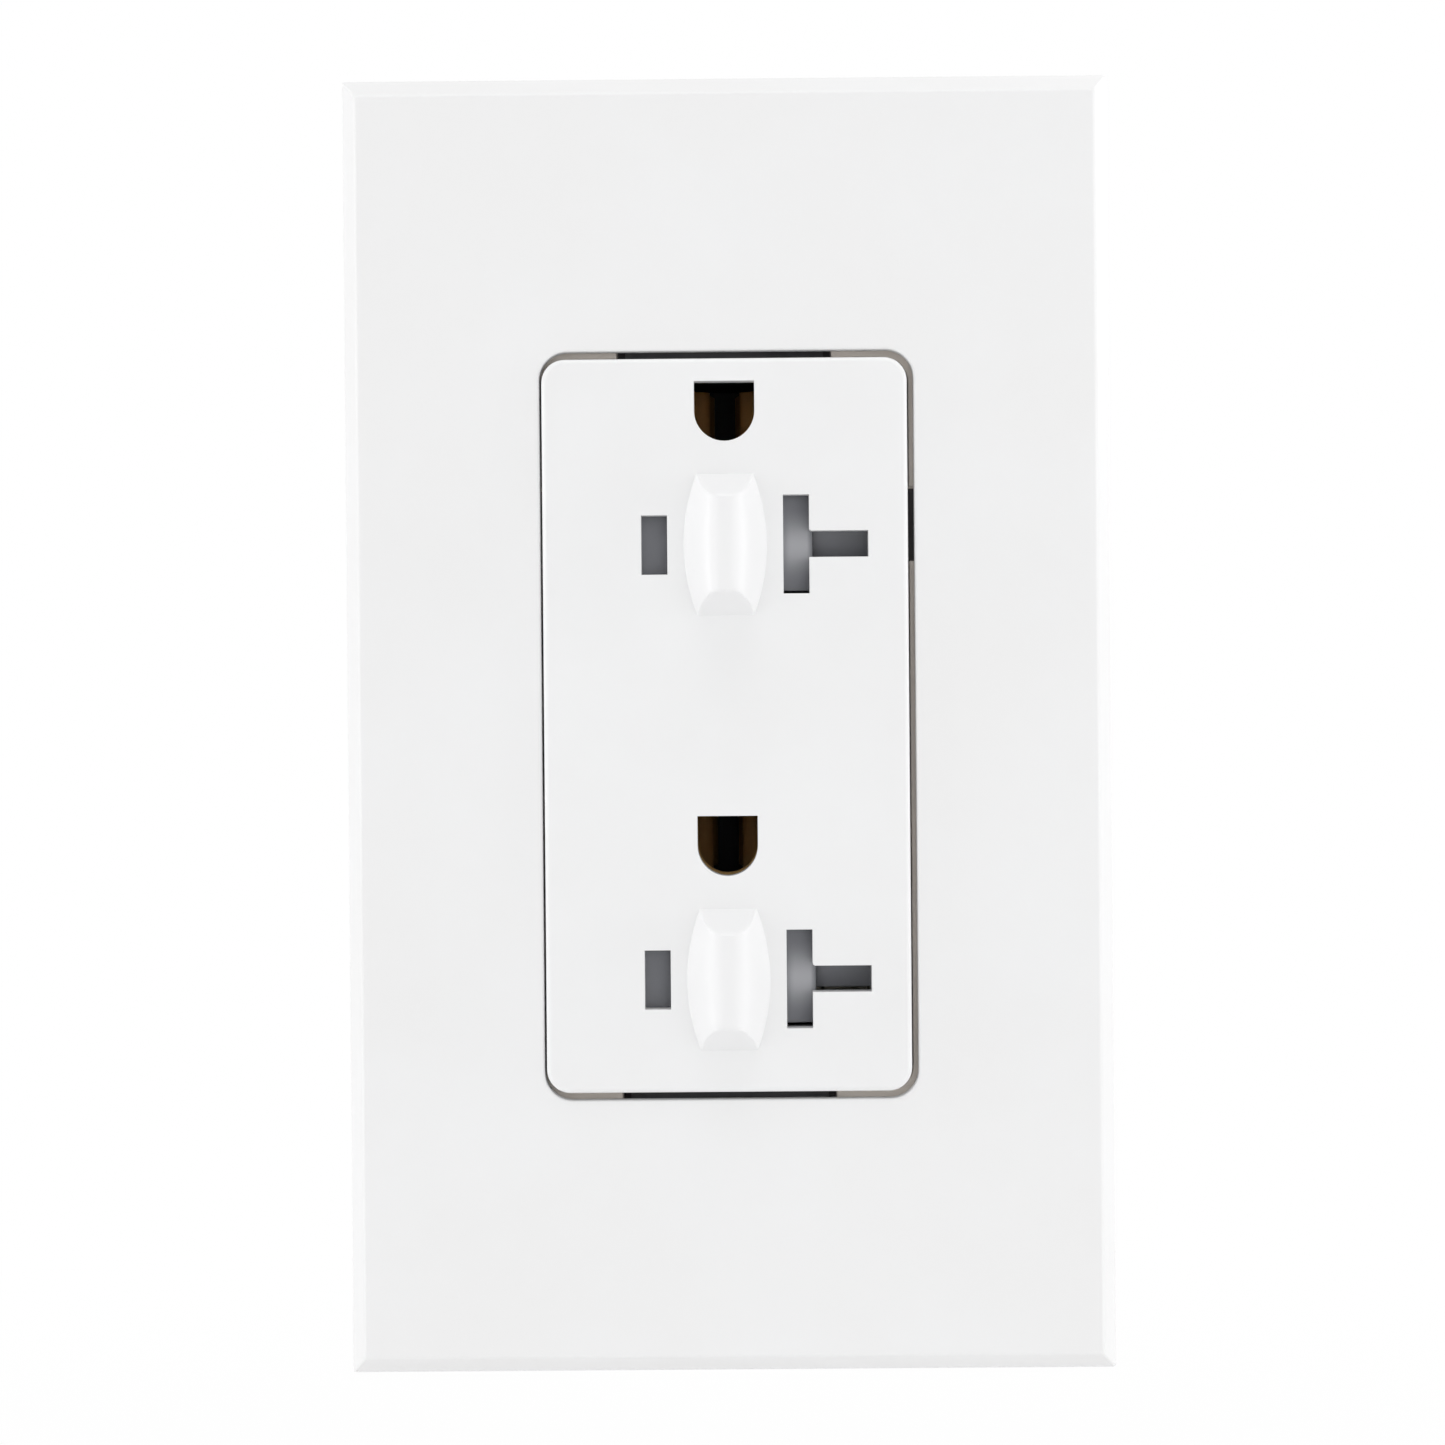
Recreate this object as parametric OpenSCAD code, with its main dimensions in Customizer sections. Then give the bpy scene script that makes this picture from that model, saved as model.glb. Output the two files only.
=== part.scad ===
// Duplex wall receptacle with T-slots, shutters and a bevelled screwless wallplate.
// Millimetres. The front faces -Y, +Z is up, and the wall is the plane y = 0.

/* [Face] */
// Width of the face that shows in the wallplate's opening
face_w = 32.7; // [32.2:0.1:33]
// Height of that face
face_h = 65.65; // [65:0.05:66.4]
// Corner radius of the face, seen from the front
face_corner_r = 2.1; // [1.6:0.1:2.6]
// Rounding of the face's front edge
face_edge_r = 0.5; // [0.2:0.1:0.8]
// Thickness of the front wall that the slots are cut in
face_wall = 2.4; // [2:0.1:3]
// Thickness of the face's side walls
face_side = 1.6; // [1.3:0.1:1.8]
// How far the face stands in front of the wallplate
face_proud = 0.6; // [0.2:0.1:1.2]

/* [Slots] */
// Height of the upper blade line above the middle of the face
upper_blade_z = 16.16; // [15.8:0.02:16.6]
// Distance between the blade lines of the two receptacles
duplex_pitch = 38.89; // [38.5:0.01:39.3]
// Distance between the two blade slots of a receptacle
blade_pitch = 12.7; // [12.4:0.1:12.9]
// Width of a blade slot
slot_w = 2.33; // [2:0.01:2.6]
// Height of the plain slot on the left
hot_slot_h = 5.3; // [5:0.1:6]
// Height of the T-slot's upright
tee_slot_h = 8.84; // [8.4:0.02:9]
// Distance from the receptacle's centre line to the end of the T-slot's arm
tee_reach = 12.79; // [12.2:0.01:12.9]
// Height of the T-slot's arm
tee_arm_h = 2.36; // [2:0.02:2.6]
// Rounding of the corner over that arm
tee_corner_r = 0.25; // [0.1:0.05:0.4]
// Height of the ground hole's centre above its blade line
ground_rise = 11.96; // [11.7:0.02:12.2]
// Radius of the round part of the ground hole
ground_hole_r = 2.7; // [2.5:0.05:2.8]
// Height of the ground hole's flat top above its centre
ground_flat = 2.67; // [2.3:0.01:2.7]

/* [Keying nub] */
// Height of the nub between the slots
nub_h = 12.7; // [11:0.1:13]
// Width of the nub at its middle
nub_w = 7.5; // [6.5:0.1:8.5]
// Width of the nub at its two ends
nub_end_w = 5.1; // [4.5:0.1:6.3]
// Width of the nub's flat top
nub_top_w = 3; // [2:0.1:4]
// Height of the nub's flat top
nub_top_h = 8.5; // [7:0.1:10]
// How far the nub stands out of the face
nub_out = 3.5; // [2:0.1:5]

/* [Wallplate] */
// Width of the wallplate at the wall
plate_w = 69.8; // [69:0.1:72]
// Height of the wallplate at the wall
plate_h = 118; // [116.5:0.1:120]
// How far each side bevel leans in
plate_bevel_x = 1.7; // [1:0.1:2]
// How far the top and bottom bevels lean in
plate_bevel_z = 2.3; // [1:0.1:2.6]
// Wall thickness of the wallplate
plate_wall = 1.8; // [1.4:0.1:1.9]
// Rounding between the bevels and the front
plate_edge_r = 0.5; // [0.2:0.1:1]
// Mean gap between the face and the sides of the wallplate's opening
opening_gap_x = 0.4; // [0.35:0.05:0.8]
// Gap between the face and the top and bottom of the opening
opening_gap_z = 0.7; // [0.4:0.05:1]
// How far the wallplate sits to the right of the face
plate_shift = 0.2; // [0:0.05:0.25]
// Width of a grip rib inside the wallplate
grip_rib_w = 1.2; // [0.8:0.1:2]
// Distance between the grip ribs along a long side
grip_rib_pitch = 26; // [20:1:30]

/* [Adapter] */
// Thickness of the frame behind the wallplate
adapter_t = 1.7; // [1.4:0.1:1.9]
// Thickness of the rim that the wallplate grips
adapter_rim_t = 1.4; // [1:0.1:2]
// Gap between the rim and the front of the wallplate's inner wall
adapter_clear = 0.84; // [0.5:0.02:1.2]
// Gap between the adapter and the face, on each side
adapter_gap = 0.2; // [0.15:0.05:0.3]
// Width of the raised land round the face, seen in the gap beside it
land_w = 2; // [1.5:0.1:2.5]
// Width of the notches over and under the face
adapter_notch_w = 19.3; // [18.6:0.1:22]
// Height of those notches
adapter_notch_h = 4.2; // [3:0.1:5]
// Room round a box screw's head in the adapter
head_room = 0.8; // [0.5:0.1:1]
// Length of the stiffening ribs behind the adapter
ladder_l = 66; // [60:1:74]
// Thickness of those ribs
ladder_t = 1.2; // [0.8:0.1:1.6]
// How far those ribs stand out of the back
ladder_h = 0.9; // [0.6:0.1:1]
// Gap between those ribs and the rear body or the plaster ears
ladder_gap = 1.5; // [1:0.1:2]
// Height of the small notch beside the upper receptacle
side_notch_h = 6.7; // [4:0.1:8]
// Depth of that small notch
side_notch_d = 1.6; // [1:0.1:2.5]
// Height of that small notch above the middle of the face
side_notch_z = 18; // [10:0.5:22]

/* [Shutters] */
// Thickness of the sliding shutter
shutter_t = 1.1; // [0.9:0.1:1.4]
// Thickness of the small shutter behind the T-slot's arm
arm_t = 0.9; // [0.8:0.1:1.2]
// Height of the small shutter's plate
arm_plate_h = 2.1; // [1.9:0.1:2.3]
// Height of the lug that the small shutter's spring pushes on
arm_lug_h = 0.9; // [0.7:0.1:1.2]
// How far that lug is set in from the ends of the small shutter
arm_lug_inset = 0.8; // [0.6:0.1:1]
// How far the shutter laps over each side of a slot
cover_lap = 0.7; // [0.5:0.05:0.8]
// How far the shutter reaches past the T-slot's upright
tee_lap = 0.35; // [0.3:0.01:0.45]
// How far the shutter stops short of the lower end of the T-slot's upright
cover_short = 0.27; // [0.1:0.01:0.4]
// How far the shutter reaches past the upper end of the T-slot's upright
cover_over = 0.3; // [0.2:0.05:0.5]
// How far a ramp falls away across a shutter plate
ramp_drop = 0.5; // [0.3:0.1:0.7]
// Width of the two rails that join the shutter's plates
rail_w = 1.2; // [0.9:0.1:1.3]
// Floor thickness of the shutter carrier
carrier_floor = 0.8; // [0.6:0.1:1]
// Wall thickness of the shutter carrier
carrier_wall = 0.7; // [0.5:0.1:0.7]
// Height of the carrier above the blade line
carrier_top = 7.8; // [7.4:0.1:8.2]
// Running gap between sliding pieces
slide_gap = 0.2; // [0.15:0.01:0.25]
// Wire diameter of a shutter spring
spring_wire = 0.36; // [0.3:0.02:0.4]
// Coil radius of a shutter spring, to the middle of the wire
spring_r = 0.74; // [0.6:0.02:0.8]
// Turns of the sliding shutter's spring
slide_spring_turns = 5; // [4:1:5]
// Turns of the small shutter's spring
arm_spring_turns = 4; // [3:1:4]

/* [Strap] */
// Thickness of the steel strap
strap_t = 1.3; // [1.1:0.1:1.5]
// Length of the strap
strap_l = 105; // [104:0.5:107]
// Width of the strap's web behind the face
web_w = 8; // [7.6:0.1:8.4]
// Width of the strap where it leaves the face
neck_w = 18; // [14:0.1:18.2]
// Width of the strap's end plates
end_w = 28; // [26:0.2:30]
// Corner radius of those ends
end_r = 2; // [1:0.1:3]
// Radius of the strap around a ground hole
ground_ring_r = 5.6; // [5:0.1:6]
// Distance between the box screws
box_pitch = 83.34; // [83.1:0.02:83.6]
// Distance between the adapter's screws
adapter_pitch = 96.8; // [96.4:0.1:97.2]
// Radius of a box screw over its thread
box_screw_r = 1.75; // [1.6:0.01:1.9]
// Length of a box screw behind the strap
box_screw_l = 23; // [18:0.5:30]
// Radius of a box screw's head
box_head_r = 3.4; // [3:0.1:3.8]
// Height of a box screw's head
box_head_h = 2; // [1.6:0.1:2.4]
// Radius of an adapter screw's thread
adapter_screw_r = 1.7; // [1.5:0.02:1.75]
// Length of the adapter screws behind the strap's mounting face
adapter_screw_l = 7.7; // [5:0.1:12]
// Radius of an adapter screw's countersunk head
adapter_head_r = 3.2; // [2.8:0.1:3.5]
// Width and depth of the driver slot in an adapter or body screw
small_slot = 0.6; // [0.4:0.05:0.8]
// Width of a box screw's retainer
retainer_w = 9; // [8:0.1:10]
// Corner radius of a box screw's retainer
retainer_corner_r = 0.8; // [0.3:0.1:2]
// Thickness of a box screw's retainer
retainer_t = 0.4; // [0.3:0.02:0.42]
// Radius of a box screw's neck, in the strap and the retainer
box_neck_r = 1.5; // [1.3:0.05:1.55]
// Length of the point on a box screw's tip
box_tip_h = 1; // [0.6:0.1:1.5]
// Sideways play of a box screw in the strap's slot
box_slot_play = 2.6; // [1:0.1:4]
// Radius of a plaster ear
ear_r = 4; // [3:0.1:5]
// Radius of the hole in a plaster ear
ear_hole_r = 1.7; // [1.2:0.1:2]
// Height of the neck that a plaster ear breaks off at
ear_neck_h = 3; // [2:0.1:4]
// Distance of a plaster ear from the middle of the strap
ear_x = 19.5; // [18.6:0.1:21]

/* [Contacts] */
// Thickness of the contact brass
bus_t = 0.8; // [0.7:0.05:0.9]
// Depth of the contact jaws behind the wall plane
jaw_depth = 12; // [11.5:0.1:13]
// Depth of the front of the jaws behind the wall plane
jaw_front = 1.6; // [1.2:0.1:2]
// Depth of the point where the jaws pinch the blade
jaw_pinch_depth = 4; // [3.5:0.1:5]
// Gap between the jaws where they pinch
jaw_pinch = 1.1; // [0.9:0.05:1.3]
// Gap between the jaws at their mouth
jaw_mouth = 2.6; // [2.4:0.05:2.65]
// Gap between the jaws at their root
jaw_root = 2; // [1.8:0.05:2.2]
// Height of a pair of jaws
jaw_h = 7; // [6:0.1:7.4]
// Height of the arm that joins a pair of jaws to the bus bar
jaw_arm_h = 6; // [5:0.1:6.8]
// Height of the necks beside the bus bar's break-off fin
fin_h = 6; // [5:0.1:7]
// How far the fin is set in from those necks
fin_inset = 1; // [0.6:0.1:1.4]
// Depth of the bus bar's front edge behind the wall plane
bus_front = 3; // [2.8:0.1:3.4]
// Height of the bus bar
bus_h = 46; // [45:0.1:47]
// Gap between the leaves of a ground contact
ground_gap = 5.5; // [5.2:0.1:5.8]
// Depth of the ground leaves behind the wall plane
ground_leaf_depth = 11; // [9:0.5:13]
// How far each ground leaf bends in to pinch the pin
leaf_pinch = 0.4; // [0.2:0.05:0.5]
// How far the tips of the ground leaves flare out
leaf_flare = 0.32; // [0.1:0.02:0.5]
// Length of those flared tips
leaf_flare_d = 2.2; // [1.5:0.1:3]
// Height of a ground leaf
ground_leaf_h = 4.8; // [4:0.1:5.2]
// Radius of a rivet
rivet_r = 0.9; // [0.7:0.05:1]
// Radius of a rivet's head
rivet_head_r = 1.5; // [1.3:0.1:1.6]
// Height of a rivet's head
rivet_head_h = 0.3; // [0.2:0.05:0.4]
// Metal left around a rivet's head
rivet_margin = 0.3; // [0.2:0.05:0.4]
// How much larger the strap's ground holes are than the face's, all round
pin_room = 0.55; // [0.4:0.05:0.7]

/* [Terminals] */
// Distance of a terminal from its receptacle's blade line
terminal_offset = 8; // [7.6:0.1:8.4]
// Radius of a terminal screw over its thread
terminal_screw_r = 2.08; // [1.9:0.02:2.2]
// Width and depth of the driver slot in a terminal or box screw
driver_slot = 0.9; // [0.7:0.05:1]
// Length of the short arm of a combination driver slot, as a share of the head
driver_cross_share = 0.65; // [0.5:0.05:0.8]
// Length of the tapered tip of a terminal screw
terminal_tip_h = 0.7; // [0.5:0.1:1]
// Radius of a terminal screw's head
terminal_head_r = 3.8; // [3.4:0.1:4]
// Height of a terminal screw's head
terminal_head_h = 2; // [1.7:0.1:2.4]
// Length of a terminal screw under its head
terminal_screw_l = 6; // [5.5:0.1:6.5]
// Width of a clamp plate
clamp_w = 8.4; // [8:0.1:8.8]
// Thickness of a clamp plate
clamp_t = 1.5; // [1.2:0.1:1.8]
// Corner radius of a clamp plate
clamp_corner_r = 0.8; // [0.4:0.1:1.2]
// Height of the gripping ridges on a clamp plate
clamp_ridge = 0.12; // [0.08:0.02:0.2]
// Gap between a tight clamp and its bus bar
clamp_gap = 0.3; // [0.3:0.05:0.5]
// Width of a wire entry in the back
wire_slot = 2.4; // [2.1:0.1:2.4]
// Clearance of a screw in its own hole
screw_gap = 0.1; // [0.05:0.01:0.15]
// Room in front of the bus bar in its pocket
pocket_room = 0.5; // [0.3:0.1:0.6]
// Room behind the bus bar for a wire to bend in
wire_room = 2; // [1.5:0.1:3]
// Depth of the ground tab behind the wall plane
ground_tab_depth = 10.4; // [10:0.1:11.5]
// Metal left on the ground tab past its clamp
tab_margin = 1; // [0.5:0.1:1.4]
// Gap between the end of the rear body and the ground clamp
ground_tab_gap = 2.97; // [2.5:0.01:3.5]

/* [Rear body] */
// Height of the rear body
body_h = 69; // [68.4:0.1:72]
// Depth of the rear body behind the wall plane
body_depth = 24; // [23:0.5:28]
// Thickness of the insulating ribs between the terminals
rib_t = 1.2; // [0.8:0.1:1.4]
// Room between a clamp plate and the ribs beside it
clamp_room = 1; // [0.5:0.1:1.2]
// Half width of the contact well inside the rear body
well_half = 11.2; // [11:0.1:11.4]
// Thickness of the walls round the well
well_wall = 1.5; // [1.3:0.1:1.7]
// Corner radius of the rear body
body_corner_r = 2; // [1:0.1:2.6]
// Length of the strip gauge in the back
gauge_l = 14.5; // [12:0.5:18]
// Height of the strip gauge
gauge_h = 2.2; // [1.8:0.1:3]
// Depth of the strip gauge, and of the sunk panel that it is in
gauge_depth = 0.5; // [0.3:0.1:0.6]
// Width of the sunk panel in the back
panel_w = 21; // [18:0.5:22]
// Height of that panel
panel_h = 44; // [36:1:46]
// How far the lead-in of a wire entry is wider than the entry, on each side
funnel = 0.5; // [0.3:0.1:0.7]
// Depth of that lead-in
funnel_depth = 0.8; // [0.5:0.1:1.2]
// Depth over which the ends of the rear body slope
body_slope_d = 9.6; // [6:0.2:14]
// How far the ends of the rear body slope in at the back
body_slope = 1.8; // [1:0.1:2]
// Radius of a body screw
body_screw_r = 1.1; // [0.9:0.05:1.2]
// Radius of a body screw's head
body_head_r = 2.1; // [1.8:0.1:2.3]
// Height of a body screw's head
body_head_h = 1.6; // [1.2:0.1:2]
// Depth of the recess over a body screw's head
body_head_recess = 4; // [3:0.1:6]
// Wall of the boss that a body screw bites into
boss_wall = 0.8; // [0.7:0.05:0.9]

/* [Hidden] */
$fn = 48;
lap = 0.4;
far = 200;
head_taper = 0.8;

// Depths, worked forwards from the strap to the front of the wallplate
strap_front = -strap_t;
floor_back = strap_front - rivet_head_h - slide_gap;
floor_front = floor_back - carrier_floor;
arm_back = floor_front - slide_gap;
arm_front = arm_back - arm_t;
shutter_back = arm_front - slide_gap;
shutter_front = shutter_back - shutter_t;
wall_back = shutter_front - slide_gap;
face_front = wall_back - face_wall;
plate_front = face_front + face_proud;
plate_inner = plate_front + plate_wall;
plate_depth = -plate_front;
adapter_front = strap_front - adapter_t;
rim_front = plate_inner + slide_gap;

// Places seen from the front
lower_blade_z = upper_blade_z - duplex_pitch;
blade_lines = [upper_blade_z, lower_blade_z];
mid_z = (upper_blade_z + lower_blade_z) / 2;
blade_x = blade_pitch / 2;
slot_in = blade_x - slot_w / 2;
slot_out = blade_x + slot_w / 2;
opening_w = face_w + 2 * opening_gap_x;
opening_h = face_h + 2 * opening_gap_z;
opening_r = face_corner_r + opening_gap_x;
face_in_w = face_w - 2 * face_side;
face_in_h = face_h - 2 * face_side;
boss_r = body_screw_r + boss_wall;
boss_x = face_in_w / 2 - boss_r + lap;
boss_z = face_in_h / 2 - boss_r + lap;

// Adapter and wallplate
cavity_half_x = plate_w / 2 - plate_wall - plate_bevel_x * (plate_depth - plate_wall) / plate_depth;
cavity_half_z = plate_h / 2 - plate_wall - plate_bevel_z * (plate_depth - plate_wall) / plate_depth;
adapter_half_x = cavity_half_x - adapter_clear;
adapter_half_z = cavity_half_z - adapter_clear;
grip_gap = slide_gap / 2;

// Shutter places
cover_left = -slot_out - cover_lap;
cover_right = slot_out + tee_lap;
cover_low = -tee_slot_h / 2 + cover_short;
cover_top = tee_slot_h / 2 + cover_over;
hot_right = -slot_in + cover_lap;
tee_left = slot_in - cover_lap;
carrier_half_x = face_in_w / 2 - slide_gap;
carrier_in_x = carrier_half_x - carrier_wall;
carrier_low = cover_low - slide_gap - carrier_wall;
arm_left = slot_out + slide_gap;
arm_right = tee_reach + tee_lap;
arm_lug_low = tee_arm_h / 2 + slide_gap / 2;
arm_lug_top = arm_lug_low + arm_lug_h;
arm_lug_in = arm_left + arm_lug_inset;
arm_lug_out = arm_right - arm_lug_inset;
spring_y = (shutter_front + arm_back) / 2;

// Contacts and terminals, worked outwards from the well
pocket_x = well_half + well_wall;
bus_in = pocket_x + screw_gap;
bus_out = bus_in + bus_t;
clamp_in = bus_out + clamp_gap;
clamp_out = clamp_in + clamp_t;
head_in = clamp_out + screw_gap;
body_half_w = head_in + terminal_head_h;
terminals = [upper_blade_z - terminal_offset, lower_blade_z + terminal_offset];
terminal_y = (bus_front + jaw_depth) / 2;
pocket_front = bus_front - pocket_room;
pocket_back = jaw_depth + wire_room;
pocket_half_h = bus_h / 2 + pocket_room;
rivet_x = web_w / 2 - rivet_head_r - rivet_margin;
rivet_drop = ground_hole_r + pin_room + rivet_head_r + 2 * rivet_margin;
ground_tab_z = -body_h / 2 - ground_tab_gap - clamp_w / 2;
ground_tab_y = ground_tab_depth - tab_margin - clamp_w / 2;
tab_out = end_w / 2;
ground_clamp_in = tab_out + clamp_gap;
ground_head_in = ground_clamp_in + clamp_t + screw_gap;

// An outline in the plane of the face, made solid from depth y0 back to depth y1
module slab(y0, y1) {
    translate([0, y1, 0])
        rotate([90, 0, 0])
            linear_extrude(y1 - y0)
                children();
}

// An outline of depth and height, made solid from x0 to x1
module across(x0, x1) {
    translate([x0, 0, 0])
        rotate([90, 0, 90])
            linear_extrude(x1 - x0)
                children();
}

// A round pin along the depth, from y0 back to y1
module pin_y(r, y0, y1) {
    translate([0, y1, 0])
        rotate([90, 0, 0])
            cylinder(r = r, h = y1 - y0);
}

// A round pin along the width, from x0 to x1
module pin_x(r, x0, x1) {
    translate([x0, 0, 0])
        rotate([0, 90, 0])
            cylinder(r = r, h = x1 - x0);
}

// A box between two corners
module block(low, high) {
    translate(low)
        cube(high - low);
}

module rounded_rect(w, h, r) {
    square([w - 2 * r, h], center = true);
    square([w, h - 2 * r], center = true);
    for (x = [-1, 1], z = [-1, 1])
        translate([x * (w / 2 - r), z * (h / 2 - r)])
            circle(r);
}

// A slot with round ends, w long and 2 * r high
module slot_outline(w, r) {
    square([w - 2 * r, 2 * r], center = true);
    for (s = [-1, 1])
        translate([s * (w / 2 - r), 0])
            circle(r);
}

// Repeats a piece on the left and on the right
module both_sides() {
    children();
    mirror([1, 0, 0])
        children();
}

// Puts a piece that is drawn on the right on side s, -1 being the left
module on_side(s) {
    if (s < 0)
        mirror([1, 0, 0])
            children();
    else
        children();
}

// Cross-section of a block whose two front edges are rounded: x is across, y is depth
module soft_edged(w, edge, y0, y1) {
    translate([-w / 2 + edge, y0])
        square([w - 2 * edge, y1 - y0]);
    translate([-w / 2, y0 + edge])
        square([w, y1 - y0 - edge]);
    for (s = [-1, 1])
        translate([s * (w / 2 - edge), y0 + edge])
            circle(edge);
}

// A block with round corners and a rounded front edge
module soft_block(w, h, r, edge, y0, y1) {
    translate([0, 0, -h / 2 + r])
        linear_extrude(h - 2 * r)
            soft_edged(w, edge, y0, y1);
    across(-w / 2 + r, w / 2 - r)
        mirror([1, -1])
            soft_edged(h, edge, y0, y1);
    for (x = [-1, 1], z = [-1, 1])
        translate([x * (w / 2 - r), 0, z * (h / 2 - r)])
            rotate([-90, 0, 0])
                rotate_extrude()
                    intersection() {
                        soft_edged(2 * r, edge, y0, y1);
                        translate([0, -far / 2])
                            square(far);
                    }
}

// Cross-section of the bevelled wallplate: x is across, y is depth
module bevel_section(w, bevel, depth, r) {
    slant = norm([bevel, depth]);
    front = w / 2 - bevel;
    round_x = front - r * (slant - bevel) / depth;
    half = [
        [w / 2, 0],
        [round_x + r * depth / slant, -depth + r - r * bevel / slant],
        [round_x, -depth]
    ];
    polygon(concat(half, [for (i = [2:-1:0]) [-half[i].x, half[i].y]]));
    for (s = [-1, 1])
        translate([s * round_x, -depth + r])
            circle(r);
}

// Cross-section of the hollow behind the wallplate's front
module cavity_section(w, half_front) {
    half_back = w / 2 - plate_wall;
    polygon([
        [-half_back, 0], [half_back, 0],
        [half_front, plate_inner], [-half_front, plate_inner]
    ]);
}

module wallplate_shell() {
    difference() {
        intersection() {
            translate([0, 0, -plate_h])
                linear_extrude(2 * plate_h)
                    bevel_section(plate_w, plate_bevel_x, plate_depth, plate_edge_r);
            across(-plate_w, plate_w)
                mirror([1, -1])
                    bevel_section(plate_h, plate_bevel_z, plate_depth, plate_edge_r);
        }
        intersection() {
            translate([0, 0, -plate_h])
                linear_extrude(2 * plate_h)
                    cavity_section(plate_w, cavity_half_x);
            across(-plate_w, plate_w)
                mirror([1, -1])
                    cavity_section(plate_h, cavity_half_z);
        }
    }
}

// Upright ribs inside the wallplate that grip the adapter's rim
module grip_ribs() {
    rib_in_x = adapter_half_x + grip_gap;
    rib_in_z = adapter_half_z + grip_gap;
    for (s = [-1, 1], n = [-1.5:1:1.5])
        translate([s * (rib_in_x + cavity_half_x + lap) / 2, 0, n * grip_rib_pitch])
            slab(plate_inner - lap, strap_front)
                square([cavity_half_x + lap - rib_in_x, grip_rib_w], center = true);
    for (s = [-1, 1], n = [-0.5, 0.5])
        translate([n * grip_rib_pitch, 0, s * (rib_in_z + cavity_half_z + lap) / 2])
            slab(plate_inner - lap, strap_front)
                square([grip_rib_w, cavity_half_z + lap - rib_in_z], center = true);
}

module wallplate() {
    color([0.94, 0.94, 0.94])
        translate([plate_shift, 0, 0])
            difference() {
                union() {
                    wallplate_shell();
                    grip_ribs();
                }
                slab(plate_front - lap, strap_front)
                    rounded_rect(opening_w, opening_h, opening_r);
                // Room for the strap's ends where the wallplate comes close to them
                slab(strap_front - slide_gap, lap)
                    square([2 * (ear_x + ear_r + slide_gap), strap_l + 2 * slide_gap], center = true);
            }
}

module adapter() {
    color([0.9, 0.9, 0.89])
        difference() {
            union() {
                translate([plate_shift, 0, 0])
                    difference() {
                        slab(rim_front, strap_front)
                            square([2 * adapter_half_x, 2 * adapter_half_z], center = true);
                        slab(rim_front - lap, adapter_front)
                            square(
                                [2 * (adapter_half_x - adapter_rim_t), 2 * (adapter_half_z - adapter_rim_t)],
                                center = true
                            );
                    }
                slab(rim_front, strap_front)
                    rounded_rect(face_w + 2 * land_w, face_h + 2 * land_w, face_corner_r + land_w);
                both_sides()
                    adapter_ladder();
            }
            slab(rim_front - lap, strap_front + lap) {
                rounded_rect(
                    face_w + 2 * adapter_gap,
                    face_h + 2 * adapter_gap,
                    face_corner_r + adapter_gap
                );
                square([adapter_notch_w, face_h + 2 * adapter_notch_h], center = true);
                translate([0, side_notch_z])
                    square([face_w + 2 * adapter_gap + 2 * side_notch_d, side_notch_h], center = true);
            }
            for (s = [-1, 1]) {
                translate([0, 0, s * box_pitch / 2])
                    pin_y(box_head_r + head_room, adapter_front - lap, strap_front + lap);
                translate([0, 0, s * adapter_pitch / 2])
                    countersink(screw_gap);
            }
        }
}

// Ribs that stiffen the adapter from behind: two rails and the rungs between them
module adapter_ladder() {
    outer = ear_x + ear_r + ladder_gap;
    inner = body_half_w + ladder_gap;
    slab(strap_front - lap, strap_front + ladder_h) {
        for (x = [inner, outer])
            translate([x, -ladder_l / 2])
                square([ladder_t, ladder_l]);
        for (n = [-2:2])
            translate([inner, n * (ladder_l - ladder_t) / 4 - ladder_t / 2])
                square([outer - inner, ladder_t]);
    }
}

// The shape of an adapter screw's head and neck, with room around it
module countersink(gap) {
    head_h = adapter_head_r - adapter_screw_r;
    translate([0, adapter_front - gap, 0])
        rotate([-90, 0, 0])
            cylinder(r1 = adapter_head_r + gap, r2 = adapter_screw_r + gap, h = head_h);
    pin_y(adapter_screw_r + gap, adapter_front, strap_front + lap);
}

module adapter_screws() {
    color([0.93, 0.93, 0.92])
        for (s = [-1, 1])
            translate([0, 0, s * adapter_pitch / 2])
                difference() {
                    union() {
                        countersink(0);
                        pin_y(adapter_screw_r, adapter_front, adapter_screw_l);
                    }
                    slab(adapter_front - lap, adapter_front + small_slot)
                        square([2 * adapter_head_r + lap, small_slot], center = true);
                }
}

// Outline of the T-slot, grown by g
module tee_outline(g) {
    translate([blade_x, 0])
        square([slot_w + 2 * g, tee_slot_h + 2 * g], center = true);
    translate([blade_x, -tee_arm_h / 2 - g])
        square([tee_reach + g - blade_x, tee_arm_h + 2 * g]);
}

// The rounding of the corner over the T-slot's arm
module tee_corner() {
    translate([slot_out, tee_arm_h / 2])
        difference() {
            square(tee_corner_r);
            translate([tee_corner_r, tee_corner_r])
                circle(tee_corner_r);
        }
}

// Outline of the plain slot on the left, grown by g
module hot_outline(g) {
    translate([-blade_x, 0])
        square([slot_w + 2 * g, hot_slot_h + 2 * g], center = true);
}

// Outline of a ground hole about its own centre, grown by g
module ground_outline(g) {
    intersection() {
        union() {
            circle(ground_hole_r + g);
            translate([-ground_hole_r - g, 0])
                square([2 * (ground_hole_r + g), ground_flat + g]);
        }
        translate([-far / 2, ground_flat + g - far])
            square(far);
    }
}

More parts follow.
